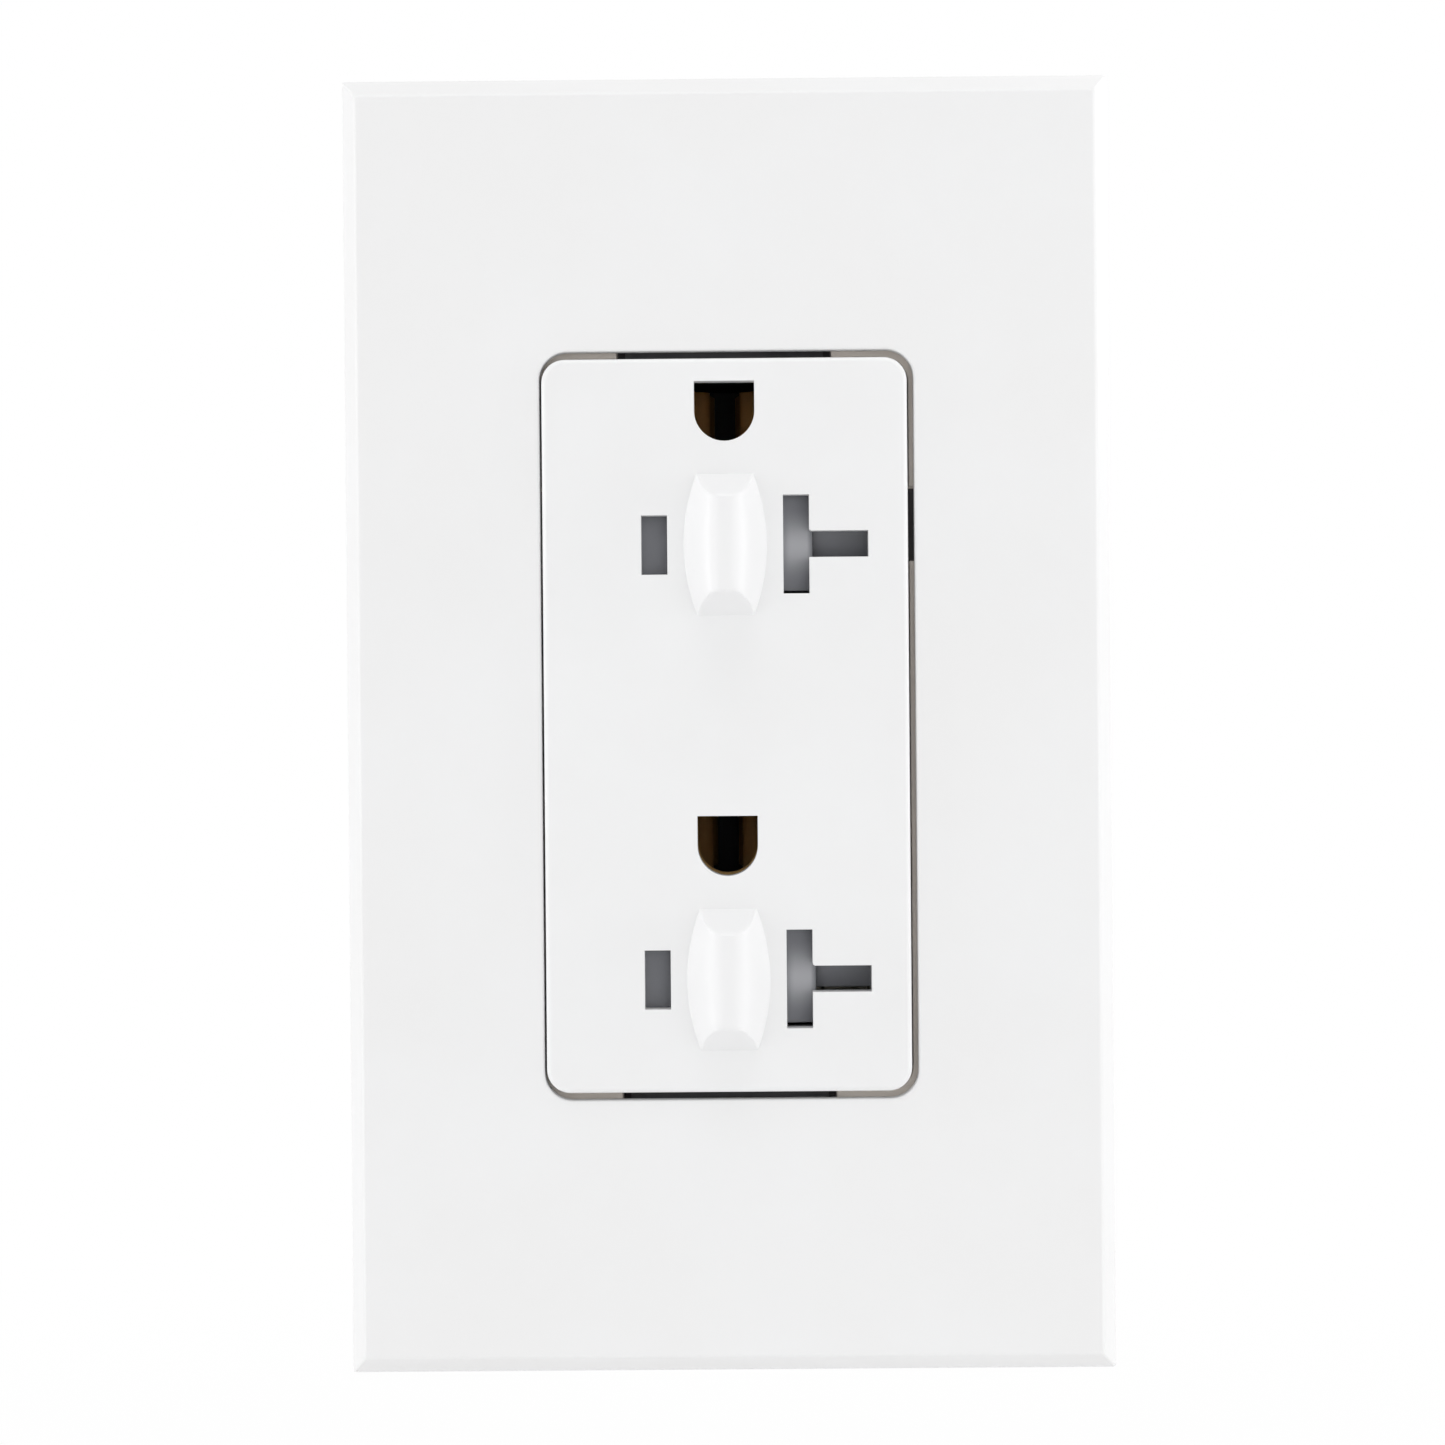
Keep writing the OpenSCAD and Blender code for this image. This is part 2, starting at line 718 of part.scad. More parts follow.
// The raised nub between the slots, drawn about its blade line
module nub() {
    fall = (nub_w - nub_top_w) / 2;
    dome_r = (fall * fall + nub_out * nub_out) / (2 * fall);
    bow = (nub_w - nub_end_w) / 2;
    side_r = (bow * bow + nub_h * nub_h / 4) / (2 * bow);
    tip = face_front - nub_out;
    intersection() {
        slab(tip, face_front + lap)
            intersection() {
                square([nub_w, nub_h], center = true);
                intersection_for(s = [-1, 1])
                    translate([s * (side_r - nub_w / 2), 0])
                        circle(side_r, $fn = 96);
            }
        translate([0, 0, -nub_h])
            linear_extrude(2 * nub_h)
                union() {
                    intersection_for(s = [-1, 1])
                        translate([s * (dome_r - nub_w / 2), face_front])
                            circle(dome_r);
                    translate([-nub_w / 2, face_front])
                        square([nub_w, lap]);
                }
        across(-nub_w, nub_w)
            polygon([
                [tip, -nub_top_h / 2], [tip, nub_top_h / 2],
                [face_front, nub_h / 2], [face_front + lap, nub_h / 2],
                [face_front + lap, -nub_h / 2], [face_front, -nub_h / 2]
            ]);
    }
}

module face() {
    color([0.95, 0.95, 0.95])
        difference() {
            union() {
                difference() {
                    soft_block(face_w, face_h, face_corner_r, face_edge_r, face_front, 0);
                    slab(wall_back, lap)
                        square([face_in_w, face_in_h], center = true);
                }
                for (x = [-1, 1], z = [-1, 1])
                    translate([x * boss_x, 0, z * boss_z])
                        pin_y(boss_r, wall_back - lap, 0);
                for (z = blade_lines)
                    translate([0, 0, z])
                        nub();
            }
            for (z = blade_lines)
                translate([0, 0, z])
                    slab(face_front - lap, wall_back + lap) {
                        tee_outline(0);
                        tee_corner();
                        hot_outline(0);
                        translate([0, ground_rise])
                            ground_outline(0);
                    }
            for (x = [-1, 1], z = [-1, 1])
                translate([x * boss_x, 0, z * boss_z])
                    pin_y(body_screw_r + screw_gap / 2, wall_back + lap, lap);
            slab(strap_front - screw_gap / 2, lap)
                square([neck_w + 2 * slide_gap, 2 * face_h], center = true);
        }
}

// Tray that the shutters slide in, drawn about its blade line
module shutter_carrier() {
    color([0.16, 0.16, 0.17])
        difference() {
            slab(wall_back + screw_gap, floor_back)
                translate([-carrier_half_x, carrier_low])
                    square([2 * carrier_half_x, carrier_top - carrier_low]);
            slab(wall_back, floor_front)
                difference() {
                    translate([-carrier_in_x, carrier_low + carrier_wall])
                        square([2 * carrier_in_x, carrier_top - carrier_low - 2 * carrier_wall]);
                    // Post in the shutter's window that stops it when it is shut
                    translate([hot_right + slide_gap, -hot_slot_h / 4])
                        square([carrier_wall, hot_slot_h / 2]);
                    // Ledge under the small shutter
                    translate([arm_lug_in, -arm_plate_h / 2 - slide_gap - carrier_wall])
                        square([arm_lug_out - arm_lug_in, carrier_wall]);
                }
            slab(floor_front - lap, floor_back + lap) {
                tee_outline(slide_gap);
                hot_outline(slide_gap);
            }
        }
}

module upper_shutter_carrier() {
    translate([0, 0, upper_blade_z])
        shutter_carrier();
}

module lower_shutter_carrier() {
    translate([0, 0, lower_blade_z])
        shutter_carrier();
}

// Shutter plate with its front ramped down towards +X, from x0 to x1
module ramp_plate(x0, x1) {
    translate([0, 0, cover_low])
        linear_extrude(cover_top - cover_low)
            polygon([
                [x0, shutter_back], [x1, shutter_back],
                [x1, shutter_front + ramp_drop], [x0, shutter_front]
            ]);
}

// Shutter that covers the plain slot and the T-slot's upright, drawn about its blade line
module shutter() {
    color([0.42, 0.43, 0.46]) {
        ramp_plate(cover_left, hot_right);
        ramp_plate(tee_left, cover_right);
        for (low = [cover_low, cover_top - rail_w])
            slab(shutter_front + ramp_drop, shutter_back)
                translate([cover_left, low])
                    square([cover_right - cover_left, rail_w]);
    }
}

module upper_shutter() {
    translate([0, 0, upper_blade_z])
        shutter();
}

module lower_shutter() {
    translate([0, 0, lower_blade_z])
        shutter();
}

// Small shutter behind the T-slot's arm, which lifts; drawn about its blade line
module arm_shutter() {
    half = arm_plate_h / 2;
    color([0.34, 0.35, 0.38]) {
        across(arm_left, arm_right)
            polygon([
                [arm_back, -half], [arm_back, arm_lug_low + lap],
                [arm_front, arm_lug_low + lap], [arm_front, half], [arm_front + ramp_drop, -half]
            ]);
        across(arm_lug_in, arm_lug_out)
            polygon([
                [arm_back, arm_lug_low], [arm_back, arm_lug_top],
                [shutter_front + slide_gap, arm_lug_top], [shutter_front + slide_gap, arm_lug_low]
            ]);
    }
}

module upper_arm_shutter() {
    translate([0, 0, upper_blade_z])
        arm_shutter();
}

module lower_arm_shutter() {
    translate([0, 0, lower_blade_z])
        arm_shutter();
}

// A wound spring along +X from the origin, as one tube with straight ends
curl_rings = 8;
wire_sides = 6;
function spring_points(length, turns) =
    let (
        run = length - 2 * spring_wire,
        steps = turns * curl_rings
    )
    concat(
        [[0, 0]],
        [for (i = [0:steps]) [spring_wire + run * i / steps, 360 * i / curl_rings]],
        [[length, 360 * turns]]
    );
function spring_centre(p) = [p.x, spring_r * cos(p.y), spring_r * sin(p.y)];
function unit(v) = v / norm(v);
function spring_ring(points, i) =
    let (
        last = len(points) - 1,
        ahead = spring_centre(points[min(i + 1, last)]),
        behind = spring_centre(points[max(i - 1, 0)]),
        end = i == 0 || i == last,
        tangent = end ? [1, 0, 0] : unit(ahead - behind),
        outward = [0, cos(points[i].y), sin(points[i].y)],
        // The tube is square to its run, with the radial direction kept in each ring
        across_wire = unit(cross(tangent, outward)),
        radial = cross(across_wire, tangent)
    )
    [for (k = [0:wire_sides - 1])
        spring_centre(points[i])
        + spring_wire / 2 * (cos(360 * k / wire_sides) * radial + sin(360 * k / wire_sides) * across_wire)];
function least_gap(points) =
    min([for (i = [1:len(points) - 2], j = [i + curl_rings / 2:1:len(points) - 2])
        norm(spring_centre(points[i]) - spring_centre(points[j])) - spring_wire]);

module wound_spring(length, turns) {
    points = spring_points(length, turns);
    rings = len(points);
    echo(str("least gap in a spring: ", least_gap(points)));
    polyhedron(
        points = [for (i = [0:rings - 1]) each spring_ring(points, i)],
        faces = concat(
            [for (k = [1:wire_sides - 2]) [0, k + 1, k]],
            [for (i = [0:rings - 2], k = [0:wire_sides - 1], half = [0, 1])
                let (a = i * wire_sides + k, b = i * wire_sides + (k + 1) % wire_sides)
                half == 0 ? [a, b, b + wire_sides] : [a, b + wire_sides, a + wire_sides]],
            [for (k = [1:wire_sides - 2])
                [(rings - 1) * wire_sides, (rings - 1) * wire_sides + k, (rings - 1) * wire_sides + k + 1]]
        )
    );
}

// Spring between the carrier's left wall and the sliding shutter
module shutter_spring(z) {
    color([0.75, 0.75, 0.76])
        translate([-carrier_in_x, spring_y, z])
            wound_spring(cover_left + carrier_in_x, slide_spring_turns);
}

module upper_shutter_spring() {
    shutter_spring(upper_blade_z);
}

module lower_shutter_spring() {
    shutter_spring(lower_blade_z);
}

// Spring between the small shutter's lug and the carrier's top wall
module arm_spring(z) {
    color([0.75, 0.75, 0.76])
        translate([(arm_lug_in + arm_lug_out) / 2, spring_y, z + arm_lug_top])
            rotate([0, -90, 0])
                wound_spring(carrier_top - carrier_wall - arm_lug_top, arm_spring_turns);
}

module upper_arm_spring() {
    arm_spring(upper_blade_z);
}

module lower_arm_spring() {
    arm_spring(lower_blade_z);
}

module strap_outline() {
    end_h = strap_l / 2 - face_h / 2 - adapter_notch_h;
    end_z = strap_l / 2 - end_h / 2;
    difference() {
        union() {
            square([web_w, face_h], center = true);
            for (z = blade_lines)
                translate([0, z + ground_rise])
                    circle(ground_ring_r);
            for (s = [-1, 1]) {
                translate([0, s * (strap_l / 2 - end_h)])
                    square([neck_w, 2 * (adapter_notch_h + face_side)], center = true);
                translate([0, s * end_z])
                    rounded_rect(end_w, end_h, end_r);
                for (x = [-1, 1]) {
                    translate([x * ear_x, s * adapter_pitch / 2])
                        circle(ear_r);
                    translate([x * ear_x / 2, s * adapter_pitch / 2])
                        square([ear_x, ear_neck_h], center = true);
                }
            }
        }
        for (z = blade_lines)
            translate([0, z + ground_rise])
                ground_outline(pin_room);
        for (s = [-1, 1]) {
            translate([0, s * adapter_pitch / 2])
                circle(adapter_screw_r + screw_gap / 2);
            translate([0, s * box_pitch / 2])
                slot_outline(2 * box_screw_r + box_slot_play, box_screw_r + 2 * screw_gap);
            for (x = [-1, 1])
                translate([x * ear_x, s * adapter_pitch / 2])
                    circle(ear_hole_r);
        }
        for (z = blade_lines, x = [-1, 1])
            translate([x * rivet_x, z + ground_rise - rivet_drop])
                circle(rivet_r + screw_gap / 4);
    }
}

// Folded tab on the strap's lower end that the ground screw threads into
module ground_tab() {
    difference() {
        across(-tab_out, -tab_out + strap_t)
            translate([-strap_t, ground_tab_z - clamp_w / 2])
                square([ground_tab_depth + strap_t, clamp_w]);
        translate([0, ground_tab_y, ground_tab_z])
            pin_x(terminal_screw_r + screw_gap, -tab_out - lap, -tab_out + strap_t + lap);
    }
}

module strap() {
    color([0.62, 0.63, 0.65]) {
        slab(strap_front, 0)
            strap_outline();
        ground_tab();
    }
}

// Folded brass contact for a ground pin, drawn about the middle of its hole
module ground_contact() {
    leaf_in = ground_gap / 2;
    foot_low = rivet_drop + rivet_head_r + rivet_margin;
    color([0.76, 0.6, 0.3])
        difference() {
            union() {
                slab(0, bus_t)
                    translate([-web_w / 2, -foot_low])
                        square([web_w, foot_low + ground_leaf_h / 2]);
                both_sides()
                    translate([0, 0, -ground_leaf_h / 2])
                        linear_extrude(ground_leaf_h)
                            polygon([
                                [leaf_in, 0], [leaf_in + bus_t, 0],
                                [leaf_in + bus_t, ground_leaf_depth / 2],
                                [leaf_in + bus_t - leaf_pinch, ground_leaf_depth - leaf_flare_d],
                                [leaf_in + bus_t + leaf_flare, ground_leaf_depth],
                                [leaf_in + leaf_flare, ground_leaf_depth],
                                [leaf_in - leaf_pinch, ground_leaf_depth - leaf_flare_d],
                                [leaf_in, ground_leaf_depth / 2]
                            ]);
            }
            slab(-lap, bus_t + lap)
                ground_outline(0);
            for (x = [-1, 1])
                translate([x * rivet_x, 0, -rivet_drop])
                    pin_y(rivet_r + screw_gap / 4, -lap, bus_t + lap);
        }
}

module upper_ground_contact() {
    translate([0, 0, upper_blade_z + ground_rise])
        ground_contact();
}

module lower_ground_contact() {
    translate([0, 0, lower_blade_z + ground_rise])
        ground_contact();
}

module ground_rivets() {
    color([0.72, 0.72, 0.73])
        for (z = blade_lines, x = [-1, 1])
            translate([x * rivet_x, 0, z + ground_rise - rivet_drop]) {
                pin_y(rivet_r, strap_front - rivet_head_h, bus_t + rivet_head_h);
                pin_y(rivet_head_r, strap_front - rivet_head_h, strap_front);
                pin_y(rivet_head_r, bus_t, bus_t + rivet_head_h);
            }
}

// Cross-section of a pair of jaws: x is across, y is depth
module jaw_section() {
    half = [
        [jaw_root / 2 + bus_t, jaw_depth],
        [jaw_pinch / 2 + bus_t, jaw_pinch_depth],
        [jaw_mouth / 2 + bus_t, jaw_front],
        [jaw_mouth / 2, jaw_front],
        [jaw_pinch / 2, jaw_pinch_depth],
        [jaw_root / 2, jaw_depth - bus_t]
    ];
    polygon(concat(half, [for (i = [5:-1:0]) [-half[i].x, half[i].y]]));
}

// Bus bar on the right side, with its jaws, break-off fin and threaded terminals
module bus_bar(with_tee) {
    neck_cut = (jaw_depth - bus_front - fin_h) / 2;
    difference() {
        union() {
            block([bus_in, bus_front, mid_z - bus_h / 2], [bus_out, jaw_depth, mid_z + bus_h / 2]);
            translate([0, 0, mid_z])
                block(
                    [bus_in, bus_front + neck_cut + fin_inset, -bus_t / 2],
                    [clamp_out, jaw_depth - neck_cut - fin_inset, bus_t / 2]
                );
            for (z = blade_lines) {
                block(
                    [blade_x, jaw_depth - bus_t, z - jaw_arm_h / 2],
                    [bus_out, jaw_depth, z + jaw_arm_h / 2]
                );
                difference() {
                    translate([blade_x, 0, z - jaw_h / 2])
                        linear_extrude(jaw_h)
                            jaw_section();
                    if (with_tee)
                        block(
                            [blade_x, 0, z - tee_arm_h / 2],
                            [tee_reach, jaw_depth - bus_t, z + tee_arm_h / 2]
                        );
                }
                if (with_tee)
                    translate([0, 0, z])
                        across(blade_x + jaw_mouth / 2 + bus_t + slide_gap, bus_in - slide_gap)
                            mirror([1, -1])
                                jaw_section();
            }
        }
        // Necks either side of the fin, so that the halves can be parted
        for (y = [bus_front - lap, jaw_depth - neck_cut])
            block(
                [bus_in - lap, y, mid_z - fin_h / 2],
                [bus_out + lap, y + neck_cut + lap, mid_z + fin_h / 2]
            );
        for (z = terminals)
            translate([0, terminal_y, z])
                pin_x(terminal_screw_r + screw_gap, bus_in - lap, bus_out + lap);
    }
}

module hot_bus() {
    color([0.78, 0.62, 0.3])
        on_side(-1)
            bus_bar(false);
}

module neutral_bus() {
    color([0.72, 0.7, 0.62])
        on_side(1)
            bus_bar(true);
}

// Insulating rib across a terminal pocket, from x = start to the side of the body
module pocket_rib(start) {
    block(
        [start, pocket_front, -rib_t / 2],
        [body_half_w + 2 * lap, pocket_back, rib_t / 2]
    );
}

// What is cut out of the right side of the rear body for a bus bar and its terminals
module terminal_pocket() {
    arm_cut = jaw_h + 2 * slide_gap;
    shank_cut = 2 * (terminal_screw_r + 3 * screw_gap);
    end_rib_rise = duplex_pitch / 2 - terminal_offset + clamp_w / 2 + clamp_room + rib_t / 2;
    difference() {
        block(
            [pocket_x, pocket_front, mid_z - pocket_half_h],
            [body_half_w + lap, pocket_back, mid_z + pocket_half_h]
        );
        // Insulating ribs between the terminals and beside the ends of the bus bar
        for (s = [-1, 1]) {
            translate([0, 0, mid_z + s * (rib_t / 2 + bus_t + slide_gap)])
                pocket_rib(clamp_out);
            translate([0, 0, mid_z + s * end_rib_rise])
                pocket_rib(clamp_in);
        }
    }
    // Way in from the front for the bus bar and its jaws
    block(
        [pocket_x, -lap, mid_z - bus_h / 2 - slide_gap],
        [bus_out + slide_gap, pocket_back, mid_z + bus_h / 2 + slide_gap]
    );
    for (z = blade_lines)
        block(
            [well_half - lap, -lap, z - arm_cut / 2],
            [pocket_x + lap, jaw_depth + slide_gap, z + arm_cut / 2]
        );
    for (z = terminals) {
        translate([0, terminal_y, z])
            block(
                [well_half - lap, -shank_cut / 2, -shank_cut / 2],
                [pocket_x + lap, shank_cut / 2, shank_cut / 2]
            );
        // Wire entries from the back, one on each side of the screw
        for (s = [-1, 1])
            translate([bus_out + wire_slot / 2, 0, z + s * (clamp_w - wire_slot) / 2]) {
                slab(pocket_back - lap, body_depth + lap)
                    square(wire_slot, center = true);
                slab(body_depth - funnel_depth, body_depth + lap)
                    square(wire_slot + 2 * funnel, center = true);
            }
    }
}

module rear_body() {
    end_wall = well_wall;
    color([0.2, 0.2, 0.21])
        difference() {
            intersection() {
                slab(0, body_depth)
                    rounded_rect(2 * body_half_w, body_h, body_corner_r);
                across(-body_half_w, body_half_w)
                    polygon([
                        [0, -body_h / 2], [body_depth - body_slope_d, -body_h / 2],
                        [body_depth, -body_h / 2 + body_slope], [body_depth, body_h / 2 - body_slope],
                        [body_depth - body_slope_d, body_h / 2], [0, body_h / 2]
                    ]);
            }
            // Well for the jaws and ground contacts, with a bridge between the receptacles
            difference() {
                slab(-lap, body_depth - well_wall)
                    square([2 * well_half, body_h - 2 * end_wall - body_slope], center = true);
                block(
                    [-well_half, ground_leaf_depth, mid_z - end_wall / 2],
                    [well_half, body_depth, mid_z + end_wall / 2]
                );
            }
            both_sides()
                terminal_pocket();
            for (x = [-1, 1], z = [-1, 1])
                translate([x * boss_x, 0, z * boss_z]) {
                    pin_y(body_screw_r + screw_gap, -lap, body_depth + lap);
                    pin_y(body_head_r + 2 * screw_gap, body_depth - body_head_recess, body_depth + lap);
                }
            // Room for the ground contacts where the end wall comes close to them
            for (z = blade_lines)
                translate([0, 0, z + ground_rise])
                    block(
                        [-web_w / 2 - slide_gap, -lap, -ground_leaf_h / 2 - slide_gap],
                        [web_w / 2 + slide_gap, ground_leaf_depth + slide_gap, ground_leaf_h / 2 + slide_gap]
                    );
            // Room for the retainers on a body that reaches the box screws
            for (s = [-1, 1])
                translate([0, 0, s * box_pitch / 2])
                    slab(-lap, retainer_t + slide_gap)
                        square(retainer_w + 2 * slide_gap, center = true);
            // Sunk panel in the back, with the wire strip gauge in it
            translate([0, 0, mid_z]) {
                slab(body_depth - gauge_depth, body_depth + lap)
                    rounded_rect(panel_w, panel_h, body_corner_r);
                slab(body_depth - 2 * gauge_depth, body_depth)
                    square([gauge_l, gauge_h], center = true);
            }
        }
}

module body_screws() {
    seat = body_depth - body_head_recess;
    tip = wall_back + small_slot + screw_gap;
    color([0.7, 0.7, 0.71])
        for (x = [-1, 1], z = [-1, 1])
            translate([x * boss_x, 0, z * boss_z])
                difference() {
                    union() {
                        pin_y(body_screw_r, tip, seat + lap);
                        pin_y(body_head_r, seat, seat + body_head_h);
                    }
                    slab(seat + body_head_h - small_slot, seat + body_head_h + lap) {
                        square([body_head_r, small_slot], center = true);
                        square([small_slot, body_head_r], center = true);
                    }
                }
}

module mounting_screws() {
    thread_start = retainer_t + screw_gap / 2;
    color([0.72, 0.73, 0.75])
        for (s = [-1, 1])
            translate([0, 0, s * box_pitch / 2])
                difference() {
                    union() {
                        pin_y(box_neck_r, strap_front - lap, thread_start + lap);
                        pin_y(box_screw_r, thread_start, box_screw_l - box_tip_h);
                        translate([0, box_screw_l - box_tip_h, 0])
                            rotate([-90, 0, 0])
                                cylinder(r1 = box_screw_r, r2 = box_neck_r, h = box_tip_h);
                        translate([0, strap_front, 0])
                            rotate([90, 0, 0])
                                cylinder(r1 = box_head_r, r2 = box_head_r * head_taper, h = box_head_h);
                    }
                    slab(strap_front - box_head_h - lap, strap_front - box_head_h + driver_slot)
                        driver_cross(box_head_r);
                }
}

// A driver slot right across a head of radius r, with a shorter one across it
module driver_cross(r) {
    square([2 * r + lap, driver_slot], center = true);
    square([driver_slot, 2 * r * driver_cross_share], center = true);
}

module screw_retainers() {
    color([0.55, 0.3, 0.18])
        for (s = [-1, 1])
            translate([0, 0, s * box_pitch / 2])
                slab(0, retainer_t)
                    difference() {
                        rounded_rect(retainer_w, retainer_w, retainer_corner_r);
                        circle(box_neck_r + screw_gap / 2);
                    }
}

// Clamp plate with two gripping ridges, drawn about the screw's axis with its inner face at x = inner
module clamp_plate(inner) {
    difference() {
        union() {
            across(inner, inner + clamp_t)
                rounded_rect(clamp_w, clamp_w, clamp_corner_r);
            for (s = [-1, 1])
                translate([0, 0, s * (clamp_w - wire_slot) / 2])
                    block(
                        [inner - clamp_ridge, -clamp_w / 2 + clamp_corner_r, -wire_slot / 4],
                        [inner, clamp_w / 2 - clamp_corner_r, wire_slot / 4]
                    );
        }
        pin_x(terminal_screw_r + 2 * screw_gap, inner - lap, inner + clamp_t + lap);
    }
}

// Terminal screw along the width, with the underside of its head at x = seat
module terminal_screw(seat) {
    difference() {
        union() {
            pin_x(terminal_screw_r, seat - terminal_screw_l + terminal_tip_h, seat + lap);
            translate([seat - terminal_screw_l, 0, 0])
                rotate([0, 90, 0])
                    cylinder(
                        r1 = terminal_screw_r - terminal_tip_h / 2,
                        r2 = terminal_screw_r,
                        h = terminal_tip_h
                    );
            pin_x(terminal_head_r, seat, seat + terminal_head_h);
        }
        across(seat + terminal_head_h - driver_slot, seat + terminal_head_h + lap)
            driver_cross(terminal_head_r);
    }
}

// Places a terminal's piece on side s at terminal number n, 0 being the upper one
module at_terminal(s, n) {
    on_side(s)
        translate([0, terminal_y, terminals[n]])
            children();
}

module at_ground_terminal() {
    on_side(-1)
        translate([0, ground_tab_y, ground_tab_z])
            children();
}

steel = [0.7, 0.71, 0.72];
brass = [0.8, 0.64, 0.3];
nickel = [0.78, 0.77, 0.74];
green = [0.12, 0.42, 0.22];

module hot_upper_clamp() {
    color(steel)
        at_terminal(-1, 0)
            clamp_plate(clamp_in);
}

module hot_lower_clamp() {
    color(steel)
        at_terminal(-1, 1)
            clamp_plate(clamp_in);
}

module neutral_upper_clamp() {
    color(steel)
        at_terminal(1, 0)
            clamp_plate(clamp_in);
}

module neutral_lower_clamp() {
    color(steel)
        at_terminal(1, 1)
            clamp_plate(clamp_in);
}

module ground_clamp() {
    color(steel)
        at_ground_terminal()
            clamp_plate(ground_clamp_in);
}

module hot_upper_screw() {
    color(brass)
        at_terminal(-1, 0)
            terminal_screw(head_in);
}

module hot_lower_screw() {
    color(brass)
        at_terminal(-1, 1)
            terminal_screw(head_in);
}

module neutral_upper_screw() {
    color(nickel)
        at_terminal(1, 0)
            terminal_screw(head_in);
}

module neutral_lower_screw() {
    color(nickel)
        at_terminal(1, 1)
            terminal_screw(head_in);
}

module ground_screw() {
    color(green)
        at_ground_terminal()
            terminal_screw(ground_head_in);
}

wallplate();
adapter();
adapter_screws();
face();
upper_shutter_carrier();
lower_shutter_carrier();
upper_shutter();
lower_shutter();
upper_arm_shutter();
lower_arm_shutter();
upper_shutter_spring();
lower_shutter_spring();
upper_arm_spring();
lower_arm_spring();
strap();
upper_ground_contact();
lower_ground_contact();
ground_rivets();
hot_bus();
neutral_bus();
rear_body();
body_screws();
mounting_screws();
screw_retainers();
hot_upper_clamp();
hot_lower_clamp();
neutral_upper_clamp();
neutral_lower_clamp();
ground_clamp();
hot_upper_screw();
hot_lower_screw();
neutral_upper_screw();
neutral_lower_screw();
ground_screw();
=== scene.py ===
import math

import bmesh
import bpy
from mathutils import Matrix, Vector


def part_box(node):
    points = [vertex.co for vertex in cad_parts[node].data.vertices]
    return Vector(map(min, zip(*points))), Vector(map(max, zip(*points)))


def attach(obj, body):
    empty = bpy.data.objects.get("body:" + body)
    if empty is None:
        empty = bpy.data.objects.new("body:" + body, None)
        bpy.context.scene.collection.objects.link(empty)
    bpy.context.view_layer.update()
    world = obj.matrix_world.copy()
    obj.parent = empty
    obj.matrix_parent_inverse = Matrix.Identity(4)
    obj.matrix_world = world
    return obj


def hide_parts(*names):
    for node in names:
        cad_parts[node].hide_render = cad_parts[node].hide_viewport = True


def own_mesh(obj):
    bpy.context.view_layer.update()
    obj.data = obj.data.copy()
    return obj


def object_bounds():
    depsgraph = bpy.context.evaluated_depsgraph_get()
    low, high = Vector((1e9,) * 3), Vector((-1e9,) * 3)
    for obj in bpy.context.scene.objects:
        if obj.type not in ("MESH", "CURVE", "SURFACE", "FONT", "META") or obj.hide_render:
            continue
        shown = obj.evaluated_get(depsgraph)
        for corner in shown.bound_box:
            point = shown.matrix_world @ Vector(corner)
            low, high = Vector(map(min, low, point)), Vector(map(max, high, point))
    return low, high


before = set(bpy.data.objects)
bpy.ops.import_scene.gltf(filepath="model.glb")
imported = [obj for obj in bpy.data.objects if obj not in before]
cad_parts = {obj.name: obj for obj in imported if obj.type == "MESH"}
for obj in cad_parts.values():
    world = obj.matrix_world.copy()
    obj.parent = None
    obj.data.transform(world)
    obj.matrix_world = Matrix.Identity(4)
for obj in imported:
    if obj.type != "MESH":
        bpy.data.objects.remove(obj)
cad_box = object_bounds()


